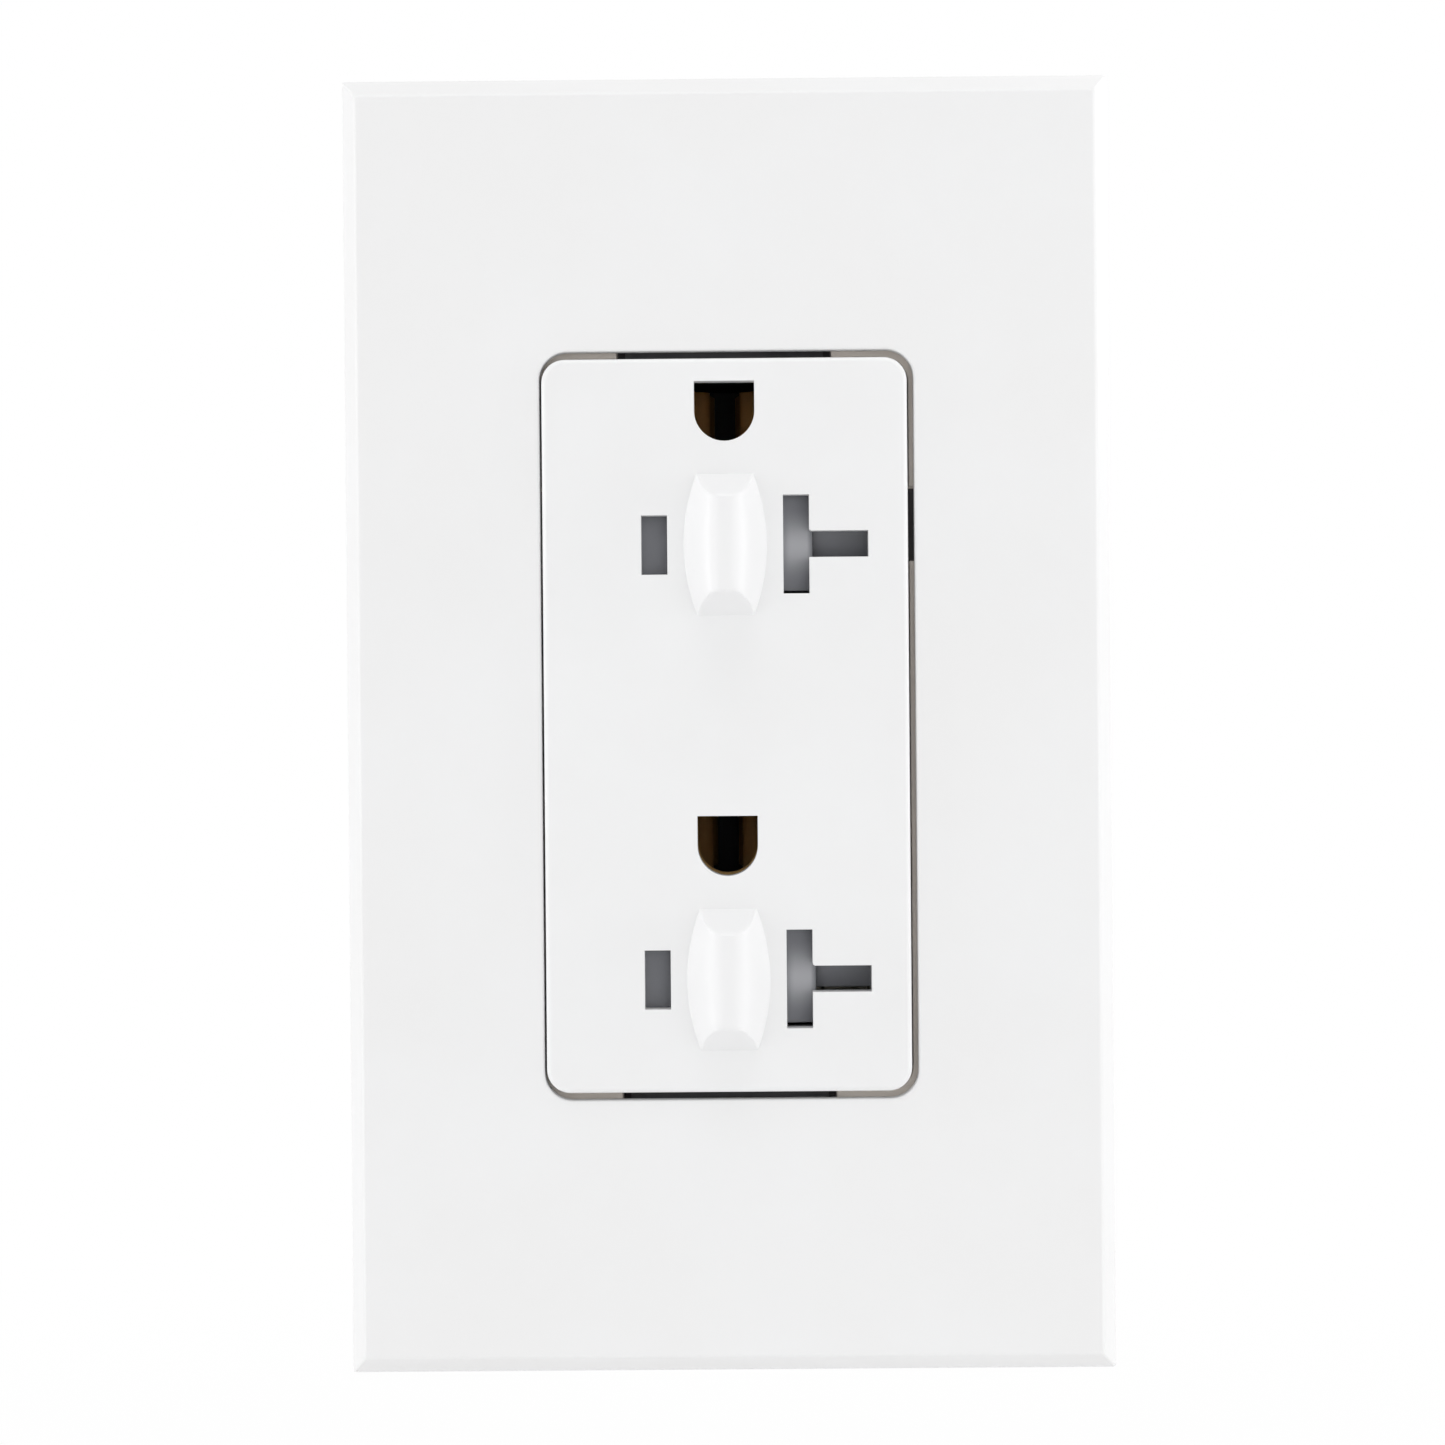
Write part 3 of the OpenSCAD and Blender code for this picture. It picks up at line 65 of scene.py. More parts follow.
# Rear body. A dark tray of glass-filled nylon that holds the contacts and carries the terminals on its
# sides. It is injection moulded with a fine eroded grain, and four screws from behind hold it to the face.
class Wire:
    """One socket of a node tree. Sums written with wires add Math nodes; make() adds any other node."""

    def __init__(self, tree, socket=None):
        self.tree = tree
        self.socket = socket

    def make(self, kind, settings=None, inputs=None, output=0):
        node = self.tree.nodes.new(kind)
        for name, value in (settings or {}).items():
            setattr(node, name, value)
        for name, value in (inputs or {}).items():
            for one in value if isinstance(value, list) else [value]:
                if isinstance(one, Wire):
                    self.tree.links.new(one.socket, node.inputs[name])
                else:
                    node.inputs[name].default_value = one
        return Wire(self.tree, node.outputs[output] if node.outputs else None)

    def maths(self, operation, *others):
        return self.make("ShaderNodeMath", {"operation": operation}, dict(enumerate((self, *others))))

    def __add__(self, other):
        return self.maths("ADD", other)

    def __sub__(self, other):
        return self.maths("SUBTRACT", other)

    def __rsub__(self, other):
        return self.maths("MULTIPLY_ADD", -1.0, other)

    def __mul__(self, other):
        return self.maths("MULTIPLY", other)

    def __truediv__(self, other):
        return self.maths("DIVIDE", other)

    def __pow__(self, other):
        return self.maths("POWER", other)

    __radd__ = __add__
    __rmul__ = __mul__

    def size(self):
        return self.maths("ABSOLUTE")

    def held(self):
        """This kept between 0 and 1."""
        return self.make("ShaderNodeClamp", None, {"Value": self})

    def step(self, low, high):
        """0 below low and 1 above high, with a soft change between them."""
        return self.make("ShaderNodeMapRange", {"interpolation_type": "SMOOTHSTEP"},
                         {"Value": self, "From Min": low, "From Max": high})

    def mix(self, first, second):
        """The first colour where this is 0, and the second where it is 1."""
        return self.make("ShaderNodeMix", {"data_type": "RGBA"}, {0: self, 6: first, 7: second}, 2)

    def point(self, x=0.0, y=0.0, z=0.0):
        """A place or a direction with these three parts."""
        return self.make("ShaderNodeCombineXYZ", None, {0: x, 1: y, 2: z})

    def part(self, axis):
        """One part of a place: 0 is across, 1 is from front to back and 2 is up."""
        return self.make("ShaderNodeSeparateXYZ", None, {0: self}, axis)

    def noise(self, feature, detail=2.0, stretch=(1, 1, 1)):
        """Noise over a place, with features of about this size in metres, longer where stretch is small."""
        scaled = self.make("ShaderNodeMapping", None, {"Vector": self, "Scale": stretch})
        return self.make("ShaderNodeTexNoise", None,
                         {"Vector": scaled, "Scale": 1 / feature, "Detail": detail})

    def bump(self, depth):
        """A surface that rises and sinks with this, by about this depth in metres."""
        return self.make("ShaderNodeBump", None, {"Strength": 1, "Distance": depth, "Height": self})


def new_finish(name):
    """An empty material, and the place on the piece that its patterns follow."""
    material = bpy.data.materials.new(name)
    material.use_nodes = True
    material.node_tree.nodes.clear()
    return material, Wire(material.node_tree).make("ShaderNodeTexCoord", None, None, "Object")


def finish_with(material, place, sockets):
    surface = place.make("ShaderNodeBsdfPrincipled", None, sockets)
    place.make("ShaderNodeOutputMaterial", None, {"Surface": surface})
    return material


def moulded_plastic(name, colour, worn, roughness, grain, depth):
    """Moulded plastic: the colour drifts, the grain is as fine as given, and faint scuffs dull it."""
    material, place = new_finish(name)
    drift = place.noise(0.016, 3).step(0.3, 0.7)
    pores = place.noise(grain, 3)
    scuffs = place.noise(0.0006, 4, (1, 1, 0.06)).step(0.6, 0.75)
    return finish_with(material, place, {
        "Base Color": (0.75 * drift + 0.25 * pores).mix((*colour, 1), (*worn, 1)),
        "Roughness": roughness + 0.06 * drift + 0.05 * scuffs,
        "Normal": pores.bump(depth),
    })


def plain(piece):
    """Turns a piece with its modifiers into a plain mesh."""
    view = bpy.context.evaluated_depsgraph_get()
    mesh = bpy.data.meshes.new_from_object(piece.evaluated_get(view), preserve_all_data_layers=True,
                                           depsgraph=view)
    piece.modifiers.clear()
    piece.data = mesh
    return piece


def new_piece(name, mesh):
    piece = bpy.data.objects.new(name, mesh)
    bpy.context.scene.collection.objects.link(piece)
    return piece


def merge_flats(form):
    """Merges the triangles of each flat face into one."""
    bmesh.ops.dissolve_limit(form, angle_limit=math.radians(0.4), verts=form.verts, edges=form.edges)


def cad_form(node, weld=2e-6):
    """A copy of a CAD node's triangles, welded and merged into whole faces."""
    form = bmesh.new()
    form.from_mesh(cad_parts[node].data)
    bmesh.ops.remove_doubles(form, verts=form.verts, dist=weld)
    merge_flats(form)
    return form


def form_piece(name, form):
    mesh = bpy.data.meshes.new(name)
    form.to_mesh(mesh)
    form.free()
    if "custom_normal" in mesh.attributes:
        mesh.attributes.remove(mesh.attributes["custom_normal"])
    mesh.shade_smooth()
    return new_piece(name, mesh)


def sharpen(piece, degrees=25):
    """Lets the edges that turn by more than this shade crisply."""
    piece.data.set_sharp_from_angle(angle=math.radians(degrees))
    return piece


def round_edges(piece, width):
    """Rounds the sharp edges of a piece, as a mould or a deburring drum leaves them."""
    edge = piece.modifiers.new("edge", "BEVEL")
    edge.width = width
    edge.segments = 2
    edge.limit_method = "ANGLE"
    edge.angle_limit = math.radians(35)
    return plain(piece)


def even_shading(piece):
    """Lets the flat faces of a piece shade flat, right up to their edges."""
    even = piece.modifiers.new("even", "WEIGHTED_NORMAL")
    even.keep_sharp = True
    return plain(piece)


def break_edges(piece, width):
    return even_shading(round_edges(piece, width))


def stand_for(piece, nodes, body, material):
    """Dresses a piece and lets it stand for its CAD nodes."""
    piece.data.materials.clear()
    piece.data.materials.append(material)
    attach(piece, body)
    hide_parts(*nodes)
    return piece


body_plastic = moulded_plastic("body_plastic", (0.045, 0.045, 0.05), (0.062, 0.062, 0.066),
                               roughness=0.5, grain=0.00025, depth=6e-6)
rear_body = sharpen(form_piece("rear_body_moulding", cad_form("rear_body")))
stand_for(even_shading(rear_body), ["rear_body"], "receptacle", body_plastic)


# Bus bars. One brass bar on each side carries the blade jaws, the break-off fin and the terminals' threads.
# They are pressed from rolled strip; the neutral one is tin plated, so that the sides can be told apart.
def rolled_strip(name, colour, tarnish, roughness):
    """Rolled and plated strip: fine lines along the rolling, and a slow drift of tarnish."""
    material, place = new_finish(name)
    lines = place.noise(0.0002, 3, (1, 1, 0.02))
    cloud = place.noise(0.006, 4).step(0.35, 0.75)
    return finish_with(material, place, {
        "Base Color": (0.7 * cloud + 0.3 * lines).mix((*colour, 1), (*tarnish, 1)),
        "Metallic": 1.0,
        "Roughness": roughness + 0.16 * cloud + 0.08 * lines,
        "Normal": lines.bump(3e-6),
    })


contact_brass = rolled_strip("contact_brass", (0.62, 0.43, 0.16), (0.4, 0.24, 0.08), 0.28)
neutral_brass = rolled_strip("neutral_brass", (0.6, 0.57, 0.5), (0.46, 0.42, 0.34), 0.28)
for node, slot, material in (("hot_bus", "contact_brass", contact_brass),
                             ("neutral_bus", "neutral_brass", neutral_brass)):
    stand_for(break_edges(form_piece(node + "_pressing", cad_form(node)), 0.0001),
              [node], "receptacle", material)


# Strap. The steel yoke that carries everything and screws to the wall box, with a plaster ear at each
# corner and a folded tab for the ground screw. It is blanked from strip, zinc plated with a dull finish and
# deburred. Its colour is painted shade: far darker than zinc, so that the gap round the face shows dark.
def zinc_plate(name, colour, dull, roughness):
    """Plated metal: soft clouds in the plating, a satin of fine scratches, and duller handled patches."""
    material, place = new_finish(name)
    clouds = place.noise(0.003, 5)
    handling = place.noise(0.012, 3).step(0.4, 0.75)
    satin = place.noise(0.0003, 3, (0.05, 1, 1))
    return finish_with(material, place, {
        "Base Color": (0.6 * clouds + 0.4 * handling).mix((*colour, 1), (*dull, 1)),
        "Metallic": 1.0,
        "Roughness": roughness + 0.18 * handling + 0.1 * satin,
        "Normal": satin.bump(4e-6),
    })


# Painted shade: the strap's near-black colour stands in for the deep shade in the gap round the face.
galvanised_steel = zinc_plate("galvanised_steel", (0.22, 0.22, 0.228), (0.15, 0.148, 0.152), 0.46)
stand_for(break_edges(form_piece("strap_pressing", cad_form("strap")), 0.00012),
          ["strap"], "receptacle", galvanised_steel)


# Ground contacts. Two folded brass clips behind the ground holes, whose leaves grip a plug's round pin.
# They are pressed from strip and riveted to the back of the strap; the leaves funnel in behind the hole.
ground_brass = rolled_strip("ground_brass", (0.7, 0.46, 0.2), (0.5, 0.3, 0.12), 0.55)
LEAF_ROOT = 0.0009
FUNNEL_DEPTH = 0.0018
FUNNEL_CUTS = 8
PINCH = 0.0014
for node in ("upper_ground_contact", "lower_ground_contact"):
    form = cad_form(node)
    for cut in range(1, FUNNEL_CUTS + 1):
        depth = LEAF_ROOT + FUNNEL_DEPTH * cut / FUNNEL_CUTS
        bmesh.ops.bisect_plane(form, geom=form.verts[:] + form.edges[:] + form.faces[:],
                               plane_co=(0, depth, 0), plane_no=(0, 1, 0))
    for point in form.verts:
        share = min(max((point.co.y - LEAF_ROOT) / FUNNEL_DEPTH, 0), 1)
        point.co.x -= math.copysign(PINCH * share * share * (3 - 2 * share), point.co.x)
    stand_for(break_edges(form_piece(node + "_pressing", form), 0.0001),
              [node], "receptacle", ground_brass)


# Rivets. Four steel rivets, two through the foot of each ground contact and the strap.
# They are headed in place, so that both heads are low domes.
def new_growth(name, sizes):
    """The inputs of a new node tree that grows one piece from points, with an input for each size."""
    tree = bpy.data.node_groups.new(name, "GeometryNodeTree")
    sockets = [("Points", "NodeSocketGeometry"), ("Finish", "NodeSocketMaterial")]
    sockets += [(size, "NodeSocketFloat") for size in sizes]
    for socket, kind in sockets:
        tree.interface.new_socket(socket, in_out="INPUT", socket_type=kind)
    tree.interface.new_socket("Piece", in_out="OUTPUT", socket_type="NodeSocketGeometry")
    entry = tree.nodes.new("NodeGroupInput")
    return [Wire(tree, entry.outputs[socket]) for socket, kind in sockets]


def close_growth(points, shape, finish, **turned):
    """Sets the shape on each point, gives it its finish, and returns the whole node tree."""
    placed = points.make("GeometryNodeInstanceOnPoints", None,
                         {"Points": points, "Instance": shape, **turned})
    whole = placed.make("GeometryNodeRealizeInstances", None, {"Geometry": placed})
    dressed = whole.make("GeometryNodeSetMaterial", None, {"Geometry": whole, "Material": finish})
    dressed.make("NodeGroupOutput", None, {0: dressed})
    return points.tree


def grow(name, tree, points, finish, sizes, crease=35):
    """Grows a piece from bare points and returns it as a plain mesh."""
    mesh = bpy.data.meshes.new(name)
    mesh.from_pydata(points, [], [])
    piece = new_piece(name, mesh)
    growth = piece.modifiers.new("growth", "NODES")
    growth.node_group = tree
    values = {"Finish": finish, **sizes}
    for item in tree.interface.items_tree:
        if item.in_out == "INPUT" and item.name != "Points":
            growth[item.identifier] = values[item.name]
    plain(piece)
    piece.data.shade_smooth()
    return sharpen(piece, crease)


def bend(shape, rule):
    """Moves each point of a shape to rule(x, y, z)."""
    place = shape.make("GeometryNodeInputPosition")
    moved = shape.point(*rule(*(place.part(axis) for axis in range(3))))
    return shape.make("GeometryNodeSetPosition", None, {"Geometry": shape, "Position": moved})


def round_bar(tree, radius, length, around, along=1, rings=1):
    """A closed round bar along Z from 0 to length, with rings of faces on its ends."""
    bar = tree.make("GeometryNodeMeshCylinder", None, {
        "Vertices": around, "Side Segments": along, "Fill Segments": rings,
        "Radius": radius, "Depth": length})
    return bend(bar, lambda x, y, z: (x, y, z + 0.5 * length))


def rivet_growth():
    points, finish, shank, head, height, grip = new_growth(
        "rivet", ["Shank radius", "Head radius", "Head height", "Grip"])

    def domed(x, y, z):
        reach = (x * x + y * y) / (head * head)
        return x, y, z * (1 - 0.55 * reach)

    cap = bend(round_bar(points, head, height, around=24, rings=4), domed)
    front = bend(cap, lambda x, y, z: (x, -0.5 * grip - z, y))
    back = bend(cap, lambda x, y, z: (0 - x, 0.5 * grip + z, y))
    pin = bend(round_bar(points, shank, grip, around=24), lambda x, y, z: (x, 0.5 * grip - z, y))
    rivet = points.make("GeometryNodeJoinGeometry", None, {0: [front, back, pin]})
    return close_growth(points, rivet, finish)


RIVET_RADIUS = 0.0015
RIVET_HEAD = 0.0003
low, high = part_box("ground_rivets")
rivet_places = [(side * (high.x - RIVET_RADIUS), (low.y + high.y) / 2, row)
                for row in (low.z + RIVET_RADIUS, high.z - RIVET_RADIUS) for side in (-1, 1)]
bright_zinc = zinc_plate("bright_zinc", (0.56, 0.57, 0.585), (0.4, 0.4, 0.41), 0.28)
rivets = grow("ground_rivet_set", rivet_growth(), rivet_places, bright_zinc, {
    "Shank radius": 0.0009, "Head radius": RIVET_RADIUS,
    "Head height": RIVET_HEAD, "Grip": high.y - low.y - 2 * RIVET_HEAD})
stand_for(rivets, ["ground_rivets"], "receptacle", bright_zinc)


# Shutter carriers. One black tray behind each half of the face, which the shutters run in.
# They are thin acetal mouldings and snap up behind the face.
carrier_black = moulded_plastic("carrier_black", (0.022, 0.022, 0.024), (0.034, 0.034, 0.036),
                                roughness=0.42, grain=0.0003, depth=4e-6)
for node in ("upper_shutter_carrier", "lower_shutter_carrier"):
    stand_for(break_edges(form_piece(node + "_moulding", cad_form(node)), 0.00012),
              [node], "receptacle", carrier_black)


# Shutters. The grey ramped plates that close the slots until both blades push at once, and the small
# deeper ones behind the arms of the T-slots. They are acetal mouldings with a smooth, slightly shiny face.
BLADE_LINES = (0.01616, -0.02273)


def shutter_plastic():
    """Grey acetal with a faint flow in it, and a painted highlight: lighter where the neutral blades meet
    the ramps.
    """
    material, place = new_finish("shutter_grey")
    across, height = place.part(0), place.part(2)
    flow = place.noise(0.003, 3, (1, 1, 0.4)).step(0.3, 0.7)
    pores = place.noise(0.0003, 3)
    from_upper, from_lower = ((height - line).size() for line in BLADE_LINES)
    near_line = 1 - from_upper.maths("MINIMUM", from_lower).step(0, 0.0034)
    # Painted highlight: a lighter, slightly rougher patch in the middle of each T-slot's upright, standing
    # in for light on the shutter.
    wear_and_painted_highlight = across.step(0.0045, 0.006) * (1 - across.step(0.0073, 0.0078)) * near_line
    grey = (0.7 * flow + 0.3 * pores).mix((0.225, 0.23, 0.252, 1), (0.255, 0.26, 0.284, 1))
    return finish_with(material, place, {
        "Base Color": wear_and_painted_highlight.mix(grey, (0.5, 0.505, 0.53, 1)),
        "Roughness": 0.34 + 0.06 * flow + 0.1 * wear_and_painted_highlight,
        "Normal": pores.bump(3e-6),
    })


shutter_grey = shutter_plastic()
for node in ("upper_shutter", "lower_shutter", "upper_arm_shutter", "lower_arm_shutter"):
    stand_for(break_edges(form_piece(node + "_moulding", cad_form(node)), 0.0001),
              [node], node, shutter_grey)


# Shutter springs. Wound compression springs that push the shutters shut: one beside each sliding shutter,
# and one above each small one. They are bright drawn wire with their end turns closed up flat.
def spring_growth():
    points, finish, length, radius, wire, turns = new_growth(
        "wound_spring", ["Length", "Coil radius", "Wire radius", "Turns"])
    spiral = points.make("GeometryNodeCurveSpiral", None, {
        "Resolution": 28, "Rotations": turns, "Start Radius": radius, "End Radius": radius, "Height": 1.0})
    run = length - 2 * wire

    def wound(x, y, z):
        closed = 2 * wire / run
        wrapped = z * turns
        lead = closed * wrapped
        tail = 1 - closed * (turns - wrapped)
        slope = (1 - 2 * closed) / (turns - 2)
        open_part = closed + (wrapped - 1) * slope
        share = lead.maths("MINIMUM", closed).maths("MAXIMUM", open_part)
        rise = share.maths("MINIMUM", tail.maths("MAXIMUM", 1 - closed))
        return wire + rise.maths("MAXIMUM", 0.0) * run, x, y

    path = bend(spiral, wound)
    section = points.make("GeometryNodeCurvePrimitiveCircle", None, {"Resolution": 10, "Radius": wire})
    coil = points.make("GeometryNodeCurveToMesh", None, {
        "Curve": path, "Profile Curve": section, "Fill Caps": True})
    return close_growth(points, coil, finish)


spring_steel = zinc_plate("spring_steel", (0.66, 0.66, 0.67), (0.5, 0.5, 0.51), 0.28)
spring_tree = spring_growth()
WIRE = 0.00018
for end in ("upper", "lower"):
    for kind, turns, travel in (("shutter", 6.0, 0.0032), ("arm", 5.0, 0.0026)):
        node = f"{end}_{kind}_spring"
        low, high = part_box(node)
        centre = (low + high) / 2
        level = kind == "shutter"
        along = Vector((1, 0, 0)) if level else Vector((0, 0, 1))
        length = (high - low).dot(along)
        spring = grow(node + "_wire", spring_tree, [(0, 0, 0)], spring_steel, {
            "Length": length, "Coil radius": (high.y - low.y) / 2 - WIRE,
            "Wire radius": WIRE, "Turns": turns})
        for point in spring.data.vertices:
            run, a, b = point.co
            if level:
                point.co = (low.x + run, centre.y + a, centre.z + b)
            else:
                point.co = (centre.x - b, centre.y + a, low.z + run)
        stand_for(spring, [node], "receptacle", spring_steel)
        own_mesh(spring)


# Face. The white front housing, with the slots, the ground holes and a keying nub on each half.
# It is one glossy white moulding; its nubs have sloping flanks, a softened crown and bevelled ends.
FACE_FRONT = -0.0076


def nub_growth():
    points, finish, height, width, end_width, top_height, top_width, stand, soft, sink = new_growth(
        "keying_nub", ["Height", "Width", "End width", "Top height", "Top width",
                       "Stand", "Softness", "Sink"])
    block = points.make("GeometryNodeMeshCube", None, {
        "Size": (2, 2, 2), "Vertices X": 57, "Vertices Y": 2, "Vertices Z": 81})
    bow = 0.5 * (width - end_width)
    foot = sink - 3e-5

    def nub(x, y, z):
        up = 0.5 * height * (z * (math.pi / 2)).maths("SINE")
        half = 0.5 * width - bow * (up / (0.5 * height)) ** 2
        over = half * (x * (math.pi / 2)).maths("SINE")
        flank = stand * (half - over.size()) / (half - 0.5 * top_width)
        crowned = flank.maths("SMOOTH_MIN", stand, soft)
        slope = (0.5 * height - up.size()) * stand / (0.5 * (height - top_height))
        crown = crowned.maths("SMOOTH_MIN", slope, 0.2 * soft)
        front = y.maths("LESS_THAN", 0.0)
        return over, sink - front * (foot + crown.maths("MAXIMUM", 0.0)), up

    return close_growth(points, bend(block, nub), finish)


def face_plastic():
    """White plastic with a hint of waviness, glossy on the flat and satin on the nubs."""
    material, place = new_finish("white_face")
    drift = place.noise(0.012, 3).step(0.3, 0.7)
    pores = place.noise(0.0004, 3)
    wave = place.noise(0.004, 1)
    plastic = (0.8 * drift + 0.2 * pores).mix((0.865, 0.868, 0.872, 1), (0.85, 0.85, 0.852, 1))
    satin = 1 - place.part(1).step(FACE_FRONT - 0.0007, FACE_FRONT - 0.0001)
    return finish_with(material, place, {
        "Base Color": satin.mix(plastic, (0.865, 0.865, 0.87, 1)),
        "Roughness": 0.3 + 0.05 * drift + 0.1 * satin,
        "Normal": (0.3 * pores + 0.2 * wave).bump(6e-6),
    })


white_face = face_plastic()
nub_places = [(0, FACE_FRONT, line) for line in BLADE_LINES]
nubs = grow("keying_nubs", nub_growth(), nub_places, white_face, {
    "Height": 0.0127, "Width": 0.0075, "End width": 0.0051, "Top height": 0.0085, "Top width": 0.0027,
    "Stand": 0.0035, "Softness": 0.0024, "Sink": 0.0008}, crease=25)
HAIR = 1e-5
form = cad_form("face", weld=HAIR)
proud = [f for f in form.faces if min(v.co.y for v in f.verts) < FACE_FRONT - HAIR]
bmesh.ops.delete(form, geom=proud, context="FACES")
rims = [e for e in form.edges if e.is_boundary]
bmesh.ops.edgeloop_fill(form, edges=rims)
merge_flats(form)
form.from_mesh(nubs.data)
bpy.data.objects.remove(nubs)
face = sharpen(form_piece("face_moulding", form))
stand_for(even_shading(face), ["face"], "receptacle", white_face)


# Screws. Body screws from behind into the face, terminal screws in the clamps, box screws in the strap and
# adapter screws in front. They are cold headed, slotted and thread rolled; the terminal screws have
# platings of their own, and the rest are bright zinc.
def screw_growth():
    (points, finish, head, height, taper, shank, root, pitch, length, neck,
     slot, cross, turn, *axis) = new_growth(
        "screw", ["Head radius", "Head height", "Head taper", "Shank radius", "Thread root", "Pitch",
                  "Length", "Neck", "Slot", "Cross share", "Turn", "Axis X", "Axis Y", "Axis Z"])

    def headed(x, y, z):
        up = z / height
        reach = (x * x + y * y) / (head * head)
        narrow = (1 - 0.05 * up * up) * (1 - taper * (1 - up))
        dome = 0.24 - 0.2 * taper
        return x * narrow, y * narrow, z * (1 - dome * reach * reach)

    blank = bend(round_bar(points, head, height, around=48, along=3, rings=6), headed)
    depth = 0.9 * slot
    cutters = []
    for long_way, across_way in ((2.4 * head, slot), (slot, 2 * head * cross)):
        size = points.point(long_way, across_way, 2 * depth)
        cube = points.make("GeometryNodeMeshCube", None, {"Size": size})
        cutters.append(bend(cube, lambda x, y, z: (x, y, z + height)))
    slotted = points.make("GeometryNodeMeshBoolean", {"operation": "DIFFERENCE", "solver": "EXACT"},
                          {"Mesh 1": blank, "Mesh 2": cutters})

    def threaded(x, y, z):
        around = y.maths("ARCTAN2", x) / (2 * math.pi)
        phase = (z / pitch - around + 100).maths("FRACT")
        ridge = 1 - (2 * phase - 1).size()
        crest = (1.8 * ridge - 0.35).held()
        tip = ((length - z) / (1.5 * pitch)).held()
        start = ((z - neck) / (0.6 * pitch)).held()
        width = (root + (shank - root) * crest * start * tip) * (0.8 + 0.2 * tip) / shank
        return x * width, 0 - y * width, 0 - z

    thread = bend(round_bar(points, shank, length, around=28, along=150), threaded)
    whole = points.make("GeometryNodeJoinGeometry", None, {0: [slotted, thread]})
    aimed = points.make("FunctionNodeAlignRotationToVector", {"axis": "Z"}, {"Vector": points.point(*axis)})
    twist = points.make("FunctionNodeEulerToRotation", None, {0: points.point(z=turn)})
    both = points.make("FunctionNodeRotateRotation", {"rotation_space": "LOCAL"}, {0: aimed, 1: twist})
    return close_growth(points, whole, finish, Rotation=both)


screw_tree = screw_growth()


def screws(name, nodes, body, finish, places, axis, sizes):
    """Screws whose heads sit at these places and face along the axis."""
    aim = dict(zip(("Axis X", "Axis Y", "Axis Z"), axis))
    piece = grow(name, screw_tree, places, finish, {**sizes, **aim})
    return stand_for(piece, nodes, body, finish)


BACK = (0.0, 1.0, 0.0)
FRONT = (0.0, -1.0, 0.0)
BODY_HEAD = 0.0021
BODY_HEAD_HEIGHT = 0.0016
low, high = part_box("body_screws")
body_places = [(x * (high.x - BODY_HEAD), high.y - BODY_HEAD_HEIGHT, z * (high.z - BODY_HEAD))
               for x in (-1, 1) for z in (-1, 1)]
screws("body_screw_set", ["body_screws"], "receptacle", bright_zinc,
       body_places, BACK, {
           "Head radius": BODY_HEAD, "Head height": BODY_HEAD_HEIGHT, "Head taper": 0.0,
           "Shank radius": 0.0011, "Thread root": 0.0008, "Pitch": 0.0008,
           "Length": high.y - low.y - BODY_HEAD_HEIGHT, "Neck": 0.002,
           "Slot": 0.0006, "Cross share": 0.7, "Turn": 0.6})


# Clamp plates and terminal screws. A square steel plate under each screw presses the wire to the bus bar.
# The plates are pressed with two ridges. The screws are brass on the hot side, nickel plated on the other,
# and dipped in green lacquer for ground.
brass_screw = zinc_plate("brass_screw", (0.72, 0.5, 0.18), (0.52, 0.33, 0.1), 0.28)
nickel_screw = zinc_plate("nickel_screw", (0.68, 0.66, 0.62), (0.52, 0.5, 0.46), 0.28)


def green_dip():
    """Green lacquer on a steel screw, thin enough for the metal to shine through where it is rubbed."""
    material, place = new_finish("green_screw")
    wear_and_painted_highlight = place.noise(0.0012, 4).step(0.62, 0.74)
    cloud = place.noise(0.003, 3)
    lacquer = cloud.mix((0.02, 0.2, 0.07, 1), (0.035, 0.28, 0.1, 1))
    return finish_with(material, place, {
        "Base Color": wear_and_painted_highlight.mix(lacquer, (0.45, 0.5, 0.42, 1)),
        "Metallic": 0.55 + 0.4 * wear_and_painted_highlight,
        "Roughness": 0.28 + 0.12 * cloud,
    })


green_screw = green_dip()
TERMINAL_HEAD_HEIGHT = 0.002
terminals = (("hot_upper", -1, "brass_screw", brass_screw),
             ("hot_lower", -1, "brass_screw", brass_screw),
             ("neutral_upper", 1, "nickel_screw", nickel_screw),
             ("neutral_lower", 1, "nickel_screw", nickel_screw),
             ("ground", -1, "green_screw", green_screw))
for number, (terminal, side, slot, finish) in enumerate(terminals):
    clamp, screw = terminal + "_clamp", terminal + "_screw"
    stand_for(break_edges(form_piece(clamp + "_plate", cad_form(clamp)), 0.00015),
              [clamp], clamp, bright_zinc)
    low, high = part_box(screw)
    middle = (low + high) / 2
    seat = (high.x if side > 0 else low.x) - side * TERMINAL_HEAD_HEIGHT
    screw_place, outward = (seat, middle.y, middle.z), (float(side), 0.0, 0.0)
    screws(screw + "_headed", [screw], screw, finish, [screw_place], outward, {
        "Head radius": 0.0038, "Head height": TERMINAL_HEAD_HEIGHT, "Head taper": 0.0,
        "Shank radius": 0.00208, "Thread root": 0.0017, "Pitch": 0.00079, "Length": 0.006, "Neck": 0.0002,
        "Slot": 0.0009, "Cross share": 0.65, "Turn": 0.35 + 0.5 * number})


# Box screws and their retainers. The long screws run through slots in the strap to the wall box, and a
# punched square of red fibre on each keeps it from falling out. The screws are zinc plated.
STRAP_FRONT = -0.0013
BOX_HEAD = 0.0034
low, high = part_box("mounting_screws")
box_places = [(0, STRAP_FRONT, row) for row in (high.z - BOX_HEAD, low.z + BOX_HEAD)]
screws("box_screw_set", ["mounting_screws"], "receptacle", bright_zinc,
       box_places, FRONT, {
           "Head radius": BOX_HEAD, "Head height": 0.002, "Head taper": 0.0,
           "Shank radius": 0.00175, "Thread root": 0.00145, "Pitch": 0.00079,
           "Length": high.y - STRAP_FRONT, "Neck": 0.0018,
           "Slot": 0.0009, "Cross share": 0.65, "Turn": 0.4})


